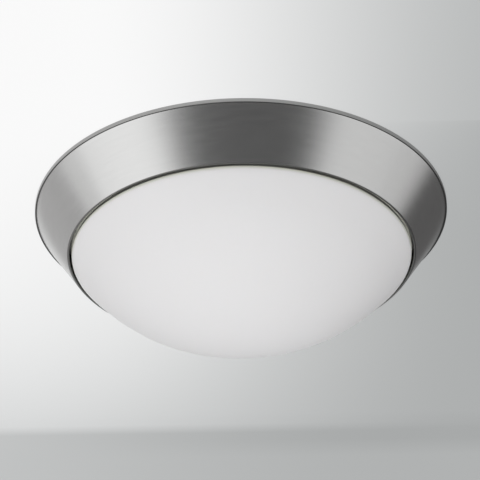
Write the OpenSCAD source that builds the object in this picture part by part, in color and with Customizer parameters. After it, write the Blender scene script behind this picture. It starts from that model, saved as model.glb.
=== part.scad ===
// Flush ceiling light: a flared spun-metal ring, a white glass bowl that snaps up into three spring
// clips, a pan with two lampholders, and the bar that fixes it all to a ceiling box.
// The ceiling is the plane z = 0. Everything hangs below it, and the axis of the light is Z.

/* [Ceiling ring] */
// Outside diameter of the ring where it meets the ceiling
ring_d = 406.4; // [396:0.2:420]
// Height of the ring, from the ceiling to its lower edge
ring_h = 51; // [48:0.5:56]
// How far the ring flares out, from the edge of its opening to its rim
flare_w = 34.7; // [33:0.1:37]
// Height of the upright hem at the ceiling
hem_h = 3; // [2.8:0.1:4.5]
// How far the hem stands out from the top of the cone
hem_step = 0.8; // [0.5:0.1:1.4]
// Radius of the rolled bead along the lower edge
bead_r = 1.3; // [1.1:0.1:2]
// Sheet thickness of the ring and the pan
sheet_t = 0.9; // [0.7:0.1:1.1]
// Width of the flange inside the hem that carries the pan
flange_w = 15.5; // [12:0.5:17]
// Number of rivets through that flange
ring_rivet_count = 6; // [3:1:12]

/* [Glass bowl] */
// Thickness of the glass
glass_t = 4; // [3:0.5:5]
// Depth of the bowl below its straight neck
bowl_depth = 78.8; // [76:0.1:95]
// How far above the foot of the neck the middle of the bowl's ellipse lies
bowl_rise = 88; // [50:1:100]
// How far the neck reaches down below the ring
bowl_drop = 1.5; // [1:0.1:3]
// Radius of the bend between the neck and the bowl
shoulder_r = 8; // [6:0.5:10]
// Height of the neck, from the bowl to the middle of the lip
neck_h = 7.5; // [7:0.1:9]
// How far the lip stands out from the neck
lip_w = 1.7; // [1.4:0.1:2]
// Gap between the lip and the ring as the bowl passes through
lip_gap = 1.3; // [1:0.1:2]

/* [Spring clips] */
// Number of spring clips
clip_count = 3; // [3:1:4]
// Width of a clip
clip_w = 12; // [8:1:16]
// Thickness of the spring steel
clip_t = 0.6; // [0.4:0.1:0.7]
// Length of the foot that lies on the pan
clip_foot = 18; // [14:1:22]
// Gap between a clip and the lip that it carries
clip_gap = 0.2; // [0.1:0.05:0.3]

/* [Pan] */
// Depth of the pan, from the ceiling to its lower face
pan_depth = 20.9; // [20:0.1:24]
// Gap between the clips and the pan's wall
pan_gap = 6.3; // [5:0.1:8]
// How much the pan's wall leans out on its way up
pan_draft = 3; // [1:0.5:4]
// Radius of the bend between the plate and the wall
pan_bend = 3; // [2:0.5:3.5]
// Gap between the stiffening bead pressed into the plate and the feet of the clips
rib_gap = 6.2; // [3:0.1:9]
// Width of that bead
rib_w = 9; // [6:1:12]
// Depth of that bead
rib_h = 1.4; // [0.8:0.1:2]
// Radius of the hole for the leads
lead_hole_r = 11; // [10:0.5:12]

/* [Insulation] */
// Radius of the pad's middle hole
pad_hole_r = 62; // [60:1:70]
// Gap between the pad and the pan's wall
pad_edge_gap = 1.5; // [1:0.5:4]
// Thickness of the glass-fibre pad
pad_t = 11; // [8:0.5:13]
// Thickness of its foil facing
foil_t = 0.3; // [0.2:0.1:0.5]

/* [Ceiling bar] */
// Length of the bar
bar_l = 112; // [108:1:118]
// Width of the bar
bar_w = 20; // [17:1:26]
// Thickness of the bar
bar_t = 1.6; // [1.4:0.1:2.5]
// Middle-to-middle distance of the slots for the box screws
slot_pitch = 79.4; // [78:0.1:82]
// Length of a slot, end to end
slot_l = 22; // [16:0.5:24]
// Width of a slot
slot_w = 4.8; // [4.4:0.1:5.2]
// Distance between the two screws that hold the pan
pan_screw_pitch = 48; // [46:1:50]
// Radius of the bar's middle hole
bar_hole_r = 4.9; // [4:0.1:5.5]
// Distance of the earth screw from the middle
earth_x = 12; // [11:0.5:13]

/* [Lampholders and lamps] */
// Number of lampholders around the middle
holder_count = 2; // [2:1:2]
// Distance of each lamp's axis from the middle
lamp_y = 38; // [36:0.5:44]
// Distance of each lampholder's back from the middle
holder_x = 76; // [70:1:82]
// Length of a lampholder
holder_l = 42; // [40:1:46]
// Outside radius of a lampholder
holder_r = 19.5; // [18.5:0.5:21]
// Inside radius of the threaded shell
shell_r = 13.4; // [13.3:0.05:13.6]
// Thickness of the threaded shell
shell_t = 0.5; // [0.3:0.1:0.6]
// Largest diameter of a lamp
lamp_d = 60; // [54:1:62]
// Overall length of a lamp
lamp_l = 108; // [100:1:114]
// Radius of a lamp's metal cap
cap_r = 13.1; // [12.9:0.05:13.2]
// Length of a lamp's metal cap
cap_l = 24; // [22:0.5:25]
// Gap between a lamp and the pan above it
lamp_gap = 6; // [5:0.5:9]
// Wall of a lamp's glass
lamp_wall = 0.9; // [0.7:0.1:1.2]
// Width of a lampholder's bracket
bracket_w = 16; // [12:1:17]
// Thickness of a bracket
bracket_t = 1.2; // [1:0.1:1.6]
// Length of a bracket's foot
bracket_foot = 22; // [20:1:26]

/* [Wiring] */
// Radius of an insulated lead
lead_r = 1.35; // [1:0.05:1.5]
// Distance of a lead's hole from the axis of the lampholder
lead_side = 10.5; // [9.5:0.1:11.5]
// Length of a twist-on wire connector
connector_l = 22; // [18:1:24]
// Radius of a connector at its mouth
connector_r = 7.5; // [6.5:0.1:7.8]
// Distance of the connectors from the middle
connector_y = 28; // [26:0.5:32]
// Radius of the earth wire
earth_r = 1; // [0.8:0.05:1.2]

/* [Hidden] */
$fn = 64;

// Clearance of a fastener or a body in its hole
fit = 0.08;
// Gap between parts that lie side by side without touching
seat = 0.3;

// Radii and heights of the ring
ring_r = ring_d / 2;
opening_r = ring_r - flare_w;
hem_in_r = ring_r - 2 * sheet_t;
flange_top = -2 * sheet_t;
flange_in_r = hem_in_r - flange_w;
bead_at = [opening_r + bead_r, -(ring_h - bead_r)];

// Radii and heights of the glass
neck_r = opening_r - lip_gap - lip_w;
lip_r = (glass_t + lip_w) / 2;
bowl_top = -(ring_h + bowl_drop);
lip_at = [neck_r - glass_t + lip_r, bowl_top + neck_h];
bowl_b = bowl_depth + bowl_rise;
bowl_start = asin(bowl_rise / bowl_b);
bowl_a = neck_r / cos(bowl_start);

// Radii and heights of the pan
plate_top = -pan_depth + sheet_t;
pan_flange_r = hem_in_r - 2 * seat;
ring_rivet_r = (hem_in_r + flange_in_r) / 2;
ring_rivet_start = 180 / ring_rivet_count;
rib_slope = rib_w / 4;
wall_lean = atan2(pan_draft, pan_depth + flange_top - pan_bend);
screw_play = 0.5;

// Rivets
rivet_r = 1.6;
rivet_head_r = 3.2;
rivet_head_t = 0.8;
pad_z = plate_top + rivet_head_t + 2 * fit;

// Spring clips
clip_leg_r = lip_at[0] + (lip_r + clip_gap) * sqrt(2);
clip_reach = 0.6;
clip_tip_r = neck_r + clip_reach;
clip_flare = 1.1;
clip_rivet_in = 7;
clip_rivet_r = clip_leg_r - clip_foot + clip_rivet_in;
clip_start = -90;

// The pan's wall stands outside the clips, and its stiffening bead runs inside their feet
pan_r = clip_leg_r + pan_gap;
rib_r = clip_leg_r - clip_foot - rib_gap - rib_w / 2;

// Screws that hold the pan to the bar
pan_screw_r = 2.03;
pan_screw_head_r = 4;
pan_screw_head_h = 2.6;
washer_r = 5;
washer_t = 0.8;

// Bushing where the leads pass the plate
bushing_bore_r = 8;
bushing_rim = 2.6;
bushing_flange_r = lead_hole_r + bushing_rim;
bushing_flange_t = 1.5;
bushing_barb = 0.8;
bushing_barb_h = 3;

// Lampholders: the axis of each lamp, and the depths of what is inside, from the back
lamp_z = -(pan_depth + lamp_gap + lamp_d / 2);
holder_waist = 2.5;
holder_back_r = holder_r - holder_waist;
holder_step = 8;
holder_slope = 3;
holder_lip = 2;
bore_floor = 10;
shell_l = 27;
contact_r = 4;
contact_t = 1.2;
contact_gap = 2;
holder_screw_r = 1.5;
holder_screw_x = 7;
holder_screw_l = 7;
holder_screw_head_r = 2.8;
holder_screw_head_h = 1.8;
bracket_bend = 1.5;
bracket_end = 5;
bracket_drop = holder_screw_x + bracket_end;
bracket_rivet_shares = [0.42, 0.82];

// Lamp: where its tip lies from the lampholder's back, and its parts
lamp_tip = bore_floor + contact_t + seat;
eyelet_r = 4.6;
eyelet_t = 1.2;
eyelet_rim = 0.6;
insulator_l = 3.6;
insulator_r = 9;
cap_floor = 1;
neck_glass_r = 11.8;
neck_glass_l = 5;
globe_swell = -28;
globe_ease = 15;

// Leads: height of their run under the plate, and their places in the bushing
lead_z = -(pan_depth + bushing_flange_t + lead_r + seat);
lead_play = 0.25;
lead_start = 4;
lead_grip = 9;
lead_far = 60;
lead_spread = 2.6;
lead_bend = 4;
lead_loop = 9;
lead_pass = [17, 9];
lead_sides = 8;
connector_bore_r = 4.2;
connector_bore_l = 13;
connector_tip_r = 4.6;
connector_mouth_x = 8;
connector_z = plate_top + connector_r + seat;
connector_nose = 2;
wing_root = 2.4;
wing_out = 0.5;
wing_t = 1.8;
pair_half = 1.6;

// Earth wire and its two screws
earth_screw_r = 1.9;
earth_head_r = 4.2;
earth_head_h = 2.4;
earth_play = 0.1;
earth_bend = 2;
pan_earth_at = [-30, 27];

// A vector of length one
function unit(v) = v / norm(v);

// Points on an arc about c, with n steps from angle a to angle b
function arc(c, r, a, b, n) = [for (k = [0:n]) c + r * [cos(a + (b - a) * k / n), sin(a + (b - a) * k / n)]];

// The left-hand normal of the step from a to b
function left(a, b) = let (d = unit(b - a)) [-d[1], d[0]];

// The outline of a sheet of thickness t: one face follows the points p, the other lies to their left
function sheet(p, t) = let (
    n = len(p),
    m = [for (i = [0:n - 2]) left(p[i], p[i + 1])]
) concat(p, [for (i = [n - 1:-1:0]) let (
    q = p[i] + t * (i == 0 ? m[0] : i == n - 1 ? m[n - 2] : (m[i - 1] + m[i]) / (1 + m[i - 1] * m[i]))
) [q[0], q[1]]]);

// Points on a cubic curve with the four control points p, in n steps
function curve(p, n) = [for (k = [0:n]) let (t = k / n, u = 1 - t)
    u * u * u * p[0] + 3 * u * u * t * p[1] + 3 * u * t * t * p[2] + t * t * t * p[3]];

// The corner b between a and c, turned into an arc of radius r, in n steps
function corner(a, b, c, r, n) = let (
    u = unit(a - b), v = unit(c - b), half = acos(u * v) / 2,
    mid = b + unit(u + v) * r / sin(half),
    s = b + u * r / tan(half) - mid, e = b + v * r / tan(half) - mid,
    turn = 180 - 2 * half
) [for (k = [0:n]) mid + (s * sin((1 - k / n) * turn) + e * sin(k / n * turn)) / sin(turn)];

// A path with each of its inner corners turned into such an arc
function rounded(p, r, n) = [
    p[0], for (i = [1:len(p) - 2]) each corner(p[i - 1], p[i], p[i + 1], r, n), p[len(p) - 1]
];

// The direction of a path at each of its points
function directions(p) = [for (i = [0:len(p) - 1]) unit(p[min(i + 1, len(p) - 1)] - p[max(i - 1, 0)])];

// A normal carried along the directions d with no twist
function carried(d, i, n) = let (m = unit(n - (n * d[i]) * d[i]))
    i == len(d) - 1 ? [m] : concat([m], carried(d, i + 1, m));

// A round wire of radius r along the points p
module wire(p, r) {
    d = directions(p);
    first = abs(d[0][2]) < 0.9 ? [0, 0, 1] : [1, 0, 0];
    n = carried(d, 0, cross(d[0], first));
    s = lead_sides;
    last = len(p) - 1;
    points = [for (i = [0:last]) let (m = cross(d[i], n[i])) for (k = [0:s - 1])
        p[i] + r * (cos(360 * k / s) * n[i] + sin(360 * k / s) * m)];
    sides = [for (i = [0:last - 1]) for (k = [0:s - 1]) let (
        a = i * s + k, b = i * s + (k + 1) % s
    ) each [[a, a + s, b], [b, a + s, b + s]]];
    caps = [for (k = [1:s - 2]) each [[0, k, k + 1], [last * s, last * s + k + 1, last * s + k]]];
    polyhedron(points, concat(sides, caps));
}

// A solid of revolution from an outline of [radius, height] points
module spun(outline) {
    rotate_extrude($fn = 128) polygon(outline);
}

// Places its children evenly on a circle of radius r, the first at the angle start
module around(count, r, start = 0) {
    for (k = [0:count - 1]) rotate([0, 0, start + k * 360 / count]) translate([r, 0, 0]) children();
}

// Places its children in the frame of lampholder i: Z runs along its axis from its back, and X points down
module at_holder(i) {
    rotate([0, 0, i * 360 / holder_count]) translate([-holder_x, lamp_y, lamp_z])
        rotate([0, 90, 0]) children();
}

// Places its children at the two rivets of bracket i, at the height z
module at_bracket_rivets(i, z) {
    for (share = bracket_rivet_shares) rotate([0, 0, i * 360 / holder_count])
        translate([-holder_x - bracket_t - bracket_foot * share, lamp_y, z]) children();
}

// A rivet through a stack whose faces are at z = 0 and z = -grip, with a head on each side
module rivet_at(grip) {
    small = rivet_head_r * 0.8;
    translate([0, 0, -grip - fit]) cylinder(r = rivet_r, h = grip + 2 * fit);
    translate([0, 0, fit]) cylinder(r1 = rivet_head_r, r2 = small, h = rivet_head_t);
    translate([0, 0, -grip - fit - rivet_head_t]) cylinder(r1 = small, r2 = rivet_head_r, h = rivet_head_t);
}

// A screw that points up, with its seat at z = 0: shank radius and length, head radius and height
module screw(r, l, head_r, head_h) {
    slot_w = head_r * 0.24;
    cylinder(r = r, h = l);
    translate([0, 0, -head_h]) difference() {
        union() {
            cylinder(r1 = head_r * 0.78, r2 = head_r, h = head_h * 0.4);
            translate([0, 0, head_h * 0.4]) cylinder(r = head_r, h = head_h * 0.6);
        }
        translate([-head_r, -slot_w / 2, -head_h]) cube([2 * head_r, slot_w, head_h * 1.45]);
    }
}

// A slot in plan, from end to end along X
module slot(l, w) {
    square([l - w, w], center = true);
    for (s = [-1, 1]) translate([s * (l - w) / 2, 0]) circle(d = w);
}

module crossbar() {
    color("lightsteelblue") translate([0, 0, -bar_t]) linear_extrude(bar_t) difference() {
        slot(bar_l, bar_w);
        circle(r = bar_hole_r);
        for (s = [-1, 1]) translate([s * slot_pitch / 2, 0]) slot(slot_l, slot_w);
        for (s = [-1, 1]) translate([s * pan_screw_pitch / 2, 0]) circle(r = pan_screw_r + fit);
        translate([-earth_x, 0]) circle(r = earth_screw_r + fit);
    }
}

// The screw under the bar that clamps the loop of the earth wire
module earth_screw() {
    seat_z = -bar_t - 2 * earth_r - fit;
    color("seagreen") translate([-earth_x, 0, seat_z])
        screw(earth_screw_r, -seat_z, earth_head_r, earth_head_h);
}

module mounting_screws() {
    seat_z = -pan_depth - washer_t - 2 * fit;
    color("silver") around(2, pan_screw_pitch / 2) translate([0, 0, seat_z])
        screw(pan_screw_r, -seat_z - seat, pan_screw_head_r, pan_screw_head_h);
}

module mounting_washers() {
    color("gainsboro") around(2, pan_screw_pitch / 2) translate([0, 0, -pan_depth - washer_t - fit])
        difference() {
            cylinder(r = washer_r, h = washer_t);
            translate([0, 0, -1]) cylinder(r = pan_screw_r + fit, h = washer_t + 2);
        }
}

// The pan's lower face, from the lead hole over the pressed rib and up the wall to the flange
function pan_face() = let (z = -pan_depth, inner = rib_r - rib_w / 2, outer = rib_r + rib_w / 2) concat(
    [[lead_hole_r, z], [inner, z]],
    [[inner + rib_slope, z - rib_h], [outer - rib_slope, z - rib_h], [outer, z]],
    arc([pan_r - pan_bend, z + pan_bend], pan_bend, -90, -wall_lean, 6),
    [[pan_r + pan_draft, flange_top], [pan_flange_r, flange_top]]
);

// A hole through the pan's plate, or through its flange
module plate_hole(r) {
    translate([0, 0, -pan_depth - 1]) cylinder(r = r, h = sheet_t + 2);
}

module flange_hole(r) {
    translate([0, 0, flange_top - sheet_t - 1]) cylinder(r = r, h = 2 * sheet_t + 2);
}

module pan() {
    color("whitesmoke") difference() {
        spun(sheet(pan_face(), sheet_t));
        around(2, pan_screw_pitch / 2) plate_hole(pan_screw_r + screw_play);
        around(clip_count, clip_rivet_r, clip_start) plate_hole(rivet_r + fit);
        for (i = [0:holder_count - 1]) at_bracket_rivets(i, 0) plate_hole(rivet_r + fit);
        around(ring_rivet_count, ring_rivet_r, ring_rivet_start) flange_hole(rivet_r + fit);
        translate([pan_earth_at[0], pan_earth_at[1], 0]) plate_hole(earth_screw_r + fit);
    }
}

// The ring's section: a folded hem, a flange for the pan, the cone and a rolled lower bead
function ring_outline() = let (
    top = [ring_r - hem_step, -hem_h],
    reach = top - bead_at,
    a = atan2(reach[1], reach[0]) - acos(bead_r / norm(reach)),
    open = acos((bead_r - sheet_t) / bead_r),
    under = flange_top - sheet_t,
    foot = top - sheet_t * [cos(a), sin(a)],
    along = [-sin(a), cos(a)]
) concat(
    [[ring_r, 0], [ring_r, -hem_h], top],
    arc(bead_at, bead_r, a, a + open - 360, 18),
    [
        foot + along * (under - foot[1]) / along[1],
        [flange_in_r, under], [flange_in_r, flange_top], [hem_in_r, flange_top], [hem_in_r, 0]
    ]
);

module trim_ring() {
    color("darkgray") difference() {
        spun(ring_outline());
        around(ring_rivet_count, ring_rivet_r, ring_rivet_start) flange_hole(rivet_r + fit);
    }
}

module ring_rivets() {
    color("silver") around(ring_rivet_count, ring_rivet_r, ring_rivet_start)
        translate([0, 0, flange_top + sheet_t]) rivet_at(2 * sheet_t);
}

// The pad, and the foil on it, lie round the wiring on the rivet heads that stand up from the plate
module pad_ring(z, h) {
    translate([0, 0, z]) difference() {
        cylinder(r = pan_r - sheet_t - pad_edge_gap, h = h);
        translate([0, 0, -1]) cylinder(r = pad_hole_r, h = h + 2);
    }
}

module insulation_pad() {
    color("khaki") pad_ring(pad_z, pad_t);
}

module insulation_foil() {
    color("gainsboro") pad_ring(pad_z + pad_t, foil_t);
}

// The bushing's flange lies under the plate, and its barbs snap over the edge of the lead hole
module wire_bushing() {
    barb_z = sheet_t + bushing_barb_h;
    color("ivory") translate([0, 0, -pan_depth]) spun([
        [bushing_bore_r, -bushing_flange_t], [bushing_flange_r, -bushing_flange_t], [bushing_flange_r, 0],
        [lead_hole_r - fit, 0], [lead_hole_r - fit, sheet_t], [lead_hole_r + bushing_barb, sheet_t],
        [lead_hole_r - bushing_barb, barb_z], [bushing_bore_r, barb_z]
    ]);
}

// A bent strip: its foot is riveted under the plate, and its leg carries the lampholder's back
module holder_bracket(i) {
    foot_z = -pan_depth - lamp_z - bracket_t;
    bends = [[-bracket_foot - bracket_t, foot_z], [-bracket_t, foot_z], [-bracket_t, -bracket_drop]];
    color("silver") difference() {
        rotate([0, 0, i * 360 / holder_count]) translate([-holder_x, lamp_y, lamp_z]) rotate([90, 0, 0])
            linear_extrude(bracket_w, center = true)
                polygon(sheet(rounded(bends, bracket_bend, 4), bracket_t));
        at_bracket_rivets(i, -pan_depth - 2 * bracket_t) cylinder(r = rivet_r + fit, h = 3 * bracket_t);
        at_holder(i) for (s = [-1, 1]) translate([s * holder_screw_x, 0, -2 * bracket_t])
            cylinder(r = holder_screw_r + fit, h = 3 * bracket_t);
    }
}

module bracket_rivets() {
    color("gainsboro") for (i = [0:holder_count - 1]) at_bracket_rivets(i, plate_top)
        rivet_at(sheet_t + bracket_t);
}

// A glazed body with a narrower back, a bore for the shell, and holes for two screws and two leads
module lampholder(i) {
    barrel_l = holder_l - holder_step - holder_slope - holder_lip;
    color("white") at_holder(i) difference() {
        union() {
            cylinder(r = holder_back_r, h = holder_step);
            translate([0, 0, holder_step]) cylinder(r1 = holder_back_r, r2 = holder_r, h = holder_slope);
            translate([0, 0, holder_step + holder_slope]) cylinder(r = holder_r, h = barrel_l);
            translate([0, 0, holder_l - holder_lip])
                cylinder(r1 = holder_r, r2 = holder_r - holder_lip / 2, h = holder_lip);
        }
        translate([0, 0, bore_floor]) cylinder(r = shell_r + shell_t + seat, h = holder_l);
        for (s = [-1, 1]) {
            translate([s * holder_screw_x, 0, -1]) cylinder(r = holder_screw_r + fit, h = holder_screw_l + 1);
            translate([0, s * lead_side, -1]) cylinder(r = lead_r + lead_play, h = bore_floor + 2);
        }
    }
}

// A cup that lines the bore, with a hole for the centre contact and two for the leads
module screw_shell(i) {
    color("goldenrod") at_holder(i) translate([0, 0, bore_floor]) difference() {
        cylinder(r = shell_r + shell_t, h = shell_l);
        translate([0, 0, shell_t]) cylinder(r = shell_r, h = shell_l);
        translate([0, 0, -1]) cylinder(r = contact_r + contact_gap, h = shell_t + 2);
        for (s = [-1, 1]) translate([0, s * lead_side, -1]) cylinder(r = lead_r + lead_play, h = shell_t + 2);
    }
}

module centre_contact(i) {
    base_h = contact_t * 0.6;
    color("gold") at_holder(i) translate([0, 0, bore_floor]) {
        cylinder(r = contact_r, h = base_h);
        translate([0, 0, base_h])
            cylinder(r1 = contact_r * 0.8, r2 = contact_r * 0.6, h = contact_t - base_h);
    }
}

module holder_screws() {
    shank_l = bracket_t + holder_screw_l - 2 * seat;
    color("silver") for (i = [0:holder_count - 1]) at_holder(i) for (s = [-1, 1])
        translate([s * holder_screw_x, 0, -bracket_t - fit])
            screw(holder_screw_r, shank_l, holder_screw_head_r, holder_screw_head_h);
}

// A lamp's glass, from its cap to its crown: a short neck, a taper and a sphere
function globe_face() = let (
    r = lamp_d / 2, middle = [0, lamp_l - r],
    neck = [neck_glass_r, insulator_l + cap_l + neck_glass_l],
    swell = middle + r * [cos(globe_swell), sin(globe_swell)],
    pull = globe_ease * [sin(globe_swell), -cos(globe_swell)]
) concat(
    [neck - [0, 2 * neck_glass_l]],
    curve([neck, neck + [0, globe_ease], swell + pull, swell], 6),
    [for (q = arc(middle, r, globe_swell, 90, 15)) if (q != swell) q]
);

// The outline p with no point left of the axis
function on_axis(p) = [for (q = p) [max(q[0], 0), q[1]]];

module lamp_globe(i) {
    color("white") at_holder(i) translate([0, 0, lamp_tip]) spun(on_axis(sheet(globe_face(), lamp_wall)));
}

module lamp_cap(i) {
    color("lightgray") at_holder(i) translate([0, 0, lamp_tip + insulator_l]) difference() {
        cylinder(r = cap_r, h = cap_l);
        translate([0, 0, cap_floor]) cylinder(r = neck_glass_r + fit, h = cap_l);
    }
}

// The end of a lamp: a soldered eyelet on a dark insulator
module lamp_eyelet(i) {
    color("dimgray") at_holder(i) translate([0, 0, lamp_tip]) {
        cylinder(r = eyelet_r, h = eyelet_t);
        translate([0, 0, eyelet_t])
            cylinder(r1 = eyelet_r + eyelet_rim, r2 = insulator_r, h = insulator_l - eyelet_t);
    }
}

// A lead from lampholder i to a connector. side is 1 for its outer hole and -1 for its inner one, at is
// its place in the bushing, and y is the line on which it enters the connector
module lead(i, side, at, y) {
    t = i == 0 ? 1 : -1;
    hole_y = lamp_y + side * lead_side;
    out = -holder_x - lead_loop;
    bore = [[t * (lead_start - holder_x), t * hole_y, lamp_z], [t * out, t * hole_y, lamp_z]];
    climb = [[t * out, t * hole_y, lead_z]];
    pass = side > 0 ? [[-t * lead_far, t * hole_y, lead_z]] : [[-t * lead_pass[0], t * lead_pass[1], lead_z]];
    rise = [[at[0], at[1], lead_z], [at[0], at[1], connector_z]];
    turn = [[at[0], y, connector_z], [sign(y) * (connector_mouth_x + lead_grip), y, connector_z]];
    wire(rounded(concat(bore, climb, pass, rise, turn), lead_bend, 5), lead_r);
}

// The black leads meet in the connector on the +Y side, and the white ones in the other
module black_lead(i, side) {
    t = i == 0 ? 1 : -1;
    color("black") lead(i, side, [-t * lead_spread, lead_spread], connector_y + t * pair_half);
}

module white_lead(i, side) {
    t = i == 0 ? 1 : -1;
    color("white") lead(i, side, [-t * lead_spread, -lead_spread], t * pair_half - connector_y);
}

// A twist-on connector, lying on the plate with its mouth towards the middle. way is 1 or -1 along X and Y
module connector(way) {
    nose_z = connector_l - connector_nose;
    color("orangered") translate([way * connector_mouth_x, way * connector_y, connector_z])
        rotate([0, way * 90, 0]) difference() {
        union() {
            cylinder(r1 = connector_r, r2 = connector_tip_r, h = nose_z);
            translate([0, 0, nose_z])
                cylinder(r1 = connector_tip_r, r2 = connector_tip_r - connector_nose / 2, h = connector_nose);
            for (a = [90, 270]) rotate([0, 0, a]) translate([connector_r - wing_root, -wing_t / 2, 1])
                cube([wing_root + wing_out, wing_t, connector_l * 0.55]);
        }
        translate([0, 0, -1]) cylinder(r = connector_bore_r, h = connector_bore_l + 1);
    }
}

// The earth wire: a loop under the bar's screw, a drop to the plate, and a loop on the pan's screw
module earth_wire() {
    r = earth_screw_r + earth_r + earth_play;
    a = [-earth_x, 0];
    b = pan_earth_at;
    high = -bar_t - earth_r - fit / 2;
    low = plate_top + earth_r + fit / 2;
    drop = [
        [a[0] - r, a[1] - 1, high], [a[0] - r - 2, a[1] - 9, high], [a[0] - r - 14, a[1] - 9, high - 8],
        [b[0] - r - 5, b[1] - 16, low + 4], [b[0] - r, b[1] - 8, low], [b[0] - r, b[1] - 1, low]
    ];
    color("darkorange") wire(concat(
        [for (q = arc(a, r, -90, 160, 12)) [q[0], q[1], high]],
        rounded(drop, earth_bend, 4),
        [for (q = arc(b, r, 175, -70, 12)) [q[0], q[1], low]]
    ), earth_r);
}

module pan_earth_screw() {
    seat_h = 2 * earth_r + fit;
    color("seagreen") translate([pan_earth_at[0], pan_earth_at[1], plate_top + seat_h]) mirror([0, 0, 1])
        screw(earth_screw_r, seat_h + sheet_t + 1, earth_head_r, earth_head_h);
}

// The inner face of a clip, from its foot on the pan to the flared tip below the lip
function clip_face() = let (
    foot_z = -pan_depth - clip_t, hook = clip_leg_r - clip_tip_r, tip_z = lip_at[1] - hook
) [
    [clip_leg_r - clip_foot, foot_z], [clip_leg_r, foot_z], [clip_leg_r, lip_at[1]],
    [clip_tip_r, tip_z], [clip_tip_r + clip_flare, tip_z - clip_flare]
];

module glass_clips() {
    color("slategray") difference() {
        around(clip_count, 0, clip_start) rotate([90, 0, 0])
            linear_extrude(clip_w, center = true) polygon(sheet(clip_face(), clip_t));
        around(clip_count, clip_rivet_r, clip_start) translate([0, 0, -pan_depth - 2 * clip_t])
            cylinder(r = rivet_r + fit, h = 3 * clip_t);
    }
}

module clip_rivets() {
    color("silver") around(clip_count, clip_rivet_r, clip_start)
        translate([0, 0, plate_top]) rivet_at(sheet_t + clip_t);
}

// The outer face of the bowl, from its lowest point to the neck: part of an ellipse
function bowl_face() = let (middle_z = bowl_top + bowl_rise)
    [for (k = [0:32]) let (a = 90 + (bowl_start - 90) * k / 32)
        [bowl_a * cos(a), middle_z - bowl_b * sin(a)]];

// The bowl's section: the bowl, a bend up to the straight neck, and a rounded lip
function bowl_outline() = let (
    bowl = bowl_face(), m = len(bowl),
    bend = corner(bowl[m - 2], bowl[m - 1], [neck_r, lip_at[1]], shoulder_r, 6),
    face = concat([for (i = [0:m - 2]) bowl[i]], bend),
    whole = sheet(concat(face, [[neck_r, lip_at[1]]]), glass_t),
    inside = [for (i = [len(face) + 2:len(whole) - 1]) whole[i]],
    low = acos((neck_r - lip_at[0]) / lip_r)
) on_axis(concat(face, arc(lip_at, lip_r, -low, 180, 14), inside));

module glass_bowl() {
    color("white") spun(bowl_outline());
}

crossbar();
earth_screw();
mounting_screws();
mounting_washers();
pan();
trim_ring();
ring_rivets();
insulation_pad();
insulation_foil();
wire_bushing();
holder_bracket(0);  // holder_bracket_1
holder_bracket(1);  // holder_bracket_2
bracket_rivets();
lampholder(0);  // lampholder_1
lampholder(1);  // lampholder_2
screw_shell(0);  // screw_shell_1
screw_shell(1);  // screw_shell_2
centre_contact(0);  // centre_contact_1
centre_contact(1);  // centre_contact_2
holder_screws();
black_lead(0, 1);  // black_lead_1
white_lead(0, -1);  // white_lead_1
black_lead(1, -1);  // black_lead_2
white_lead(1, 1);  // white_lead_2
connector(1);  // line_connector
connector(-1);  // neutral_connector
earth_wire();
pan_earth_screw();
glass_clips();
clip_rivets();
lamp_globe(0);  // lamp_1_globe
lamp_cap(0);  // lamp_1_cap
lamp_eyelet(0);  // lamp_1_eyelet
lamp_globe(1);  // lamp_2_globe
lamp_cap(1);  // lamp_2_cap
lamp_eyelet(1);  // lamp_2_eyelet
glass_bowl();
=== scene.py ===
"""Looks of a flush ceiling light: a brushed ring, an opal bowl, and the lamps and wiring behind it.

Sizes are in millimetres in the frame of the part. The light hangs below the plane z = 0, its axis is Z, the
two lamps lie along X, and the side at -Y is the near one in the picture. Points are turned into metres when
they go into a mesh.
"""

import logging
import math
from collections.abc import Callable, Sequence
from dataclasses import dataclass
from enum import Enum

import bmesh
import bpy
import numpy as np
from mathutils import Matrix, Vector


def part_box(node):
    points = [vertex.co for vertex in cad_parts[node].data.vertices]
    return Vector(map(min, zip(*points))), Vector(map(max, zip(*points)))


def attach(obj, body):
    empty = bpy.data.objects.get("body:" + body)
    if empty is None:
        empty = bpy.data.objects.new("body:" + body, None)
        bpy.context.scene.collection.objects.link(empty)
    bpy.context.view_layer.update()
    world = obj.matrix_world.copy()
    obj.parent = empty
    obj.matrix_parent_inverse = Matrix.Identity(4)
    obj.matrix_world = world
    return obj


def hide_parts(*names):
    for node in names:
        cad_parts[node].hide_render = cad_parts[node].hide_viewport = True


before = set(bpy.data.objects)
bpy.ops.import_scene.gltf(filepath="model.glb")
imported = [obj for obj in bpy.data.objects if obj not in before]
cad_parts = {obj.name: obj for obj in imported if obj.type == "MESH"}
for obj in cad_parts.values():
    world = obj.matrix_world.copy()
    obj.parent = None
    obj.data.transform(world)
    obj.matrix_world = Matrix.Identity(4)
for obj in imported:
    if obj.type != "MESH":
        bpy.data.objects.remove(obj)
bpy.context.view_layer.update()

LOG = logging.getLogger("ceiling_light")
MM = 0.001
TURN = 2 * math.pi

# Most values of a noise lie between these
NOISE_SPAN = (0.3, 0.7)

# A pair is the two ends of a span or a place in a plane, and a field has a value for each point of a surface
Colour = tuple[float, float, float]
Pair = tuple[float, float]
Field = np.ndarray
Shape = Callable[[Field, Field, Field], tuple[Field, Field]]
Socket = bpy.types.NodeSocket
Inputs = dict[str | int, object]


# Shapes


def node_box(node: str) -> tuple[np.ndarray, np.ndarray]:
    """Gives the lowest and highest corner of a node of the frame, in millimetres."""
    low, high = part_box(node)
    return np.array(low) / MM, np.array(high) / MM


def unit(vector: np.ndarray) -> np.ndarray:
    """Gives vectors of length one, along the last axis."""
    return vector / np.linalg.norm(vector, axis=-1, keepdims=True)


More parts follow.
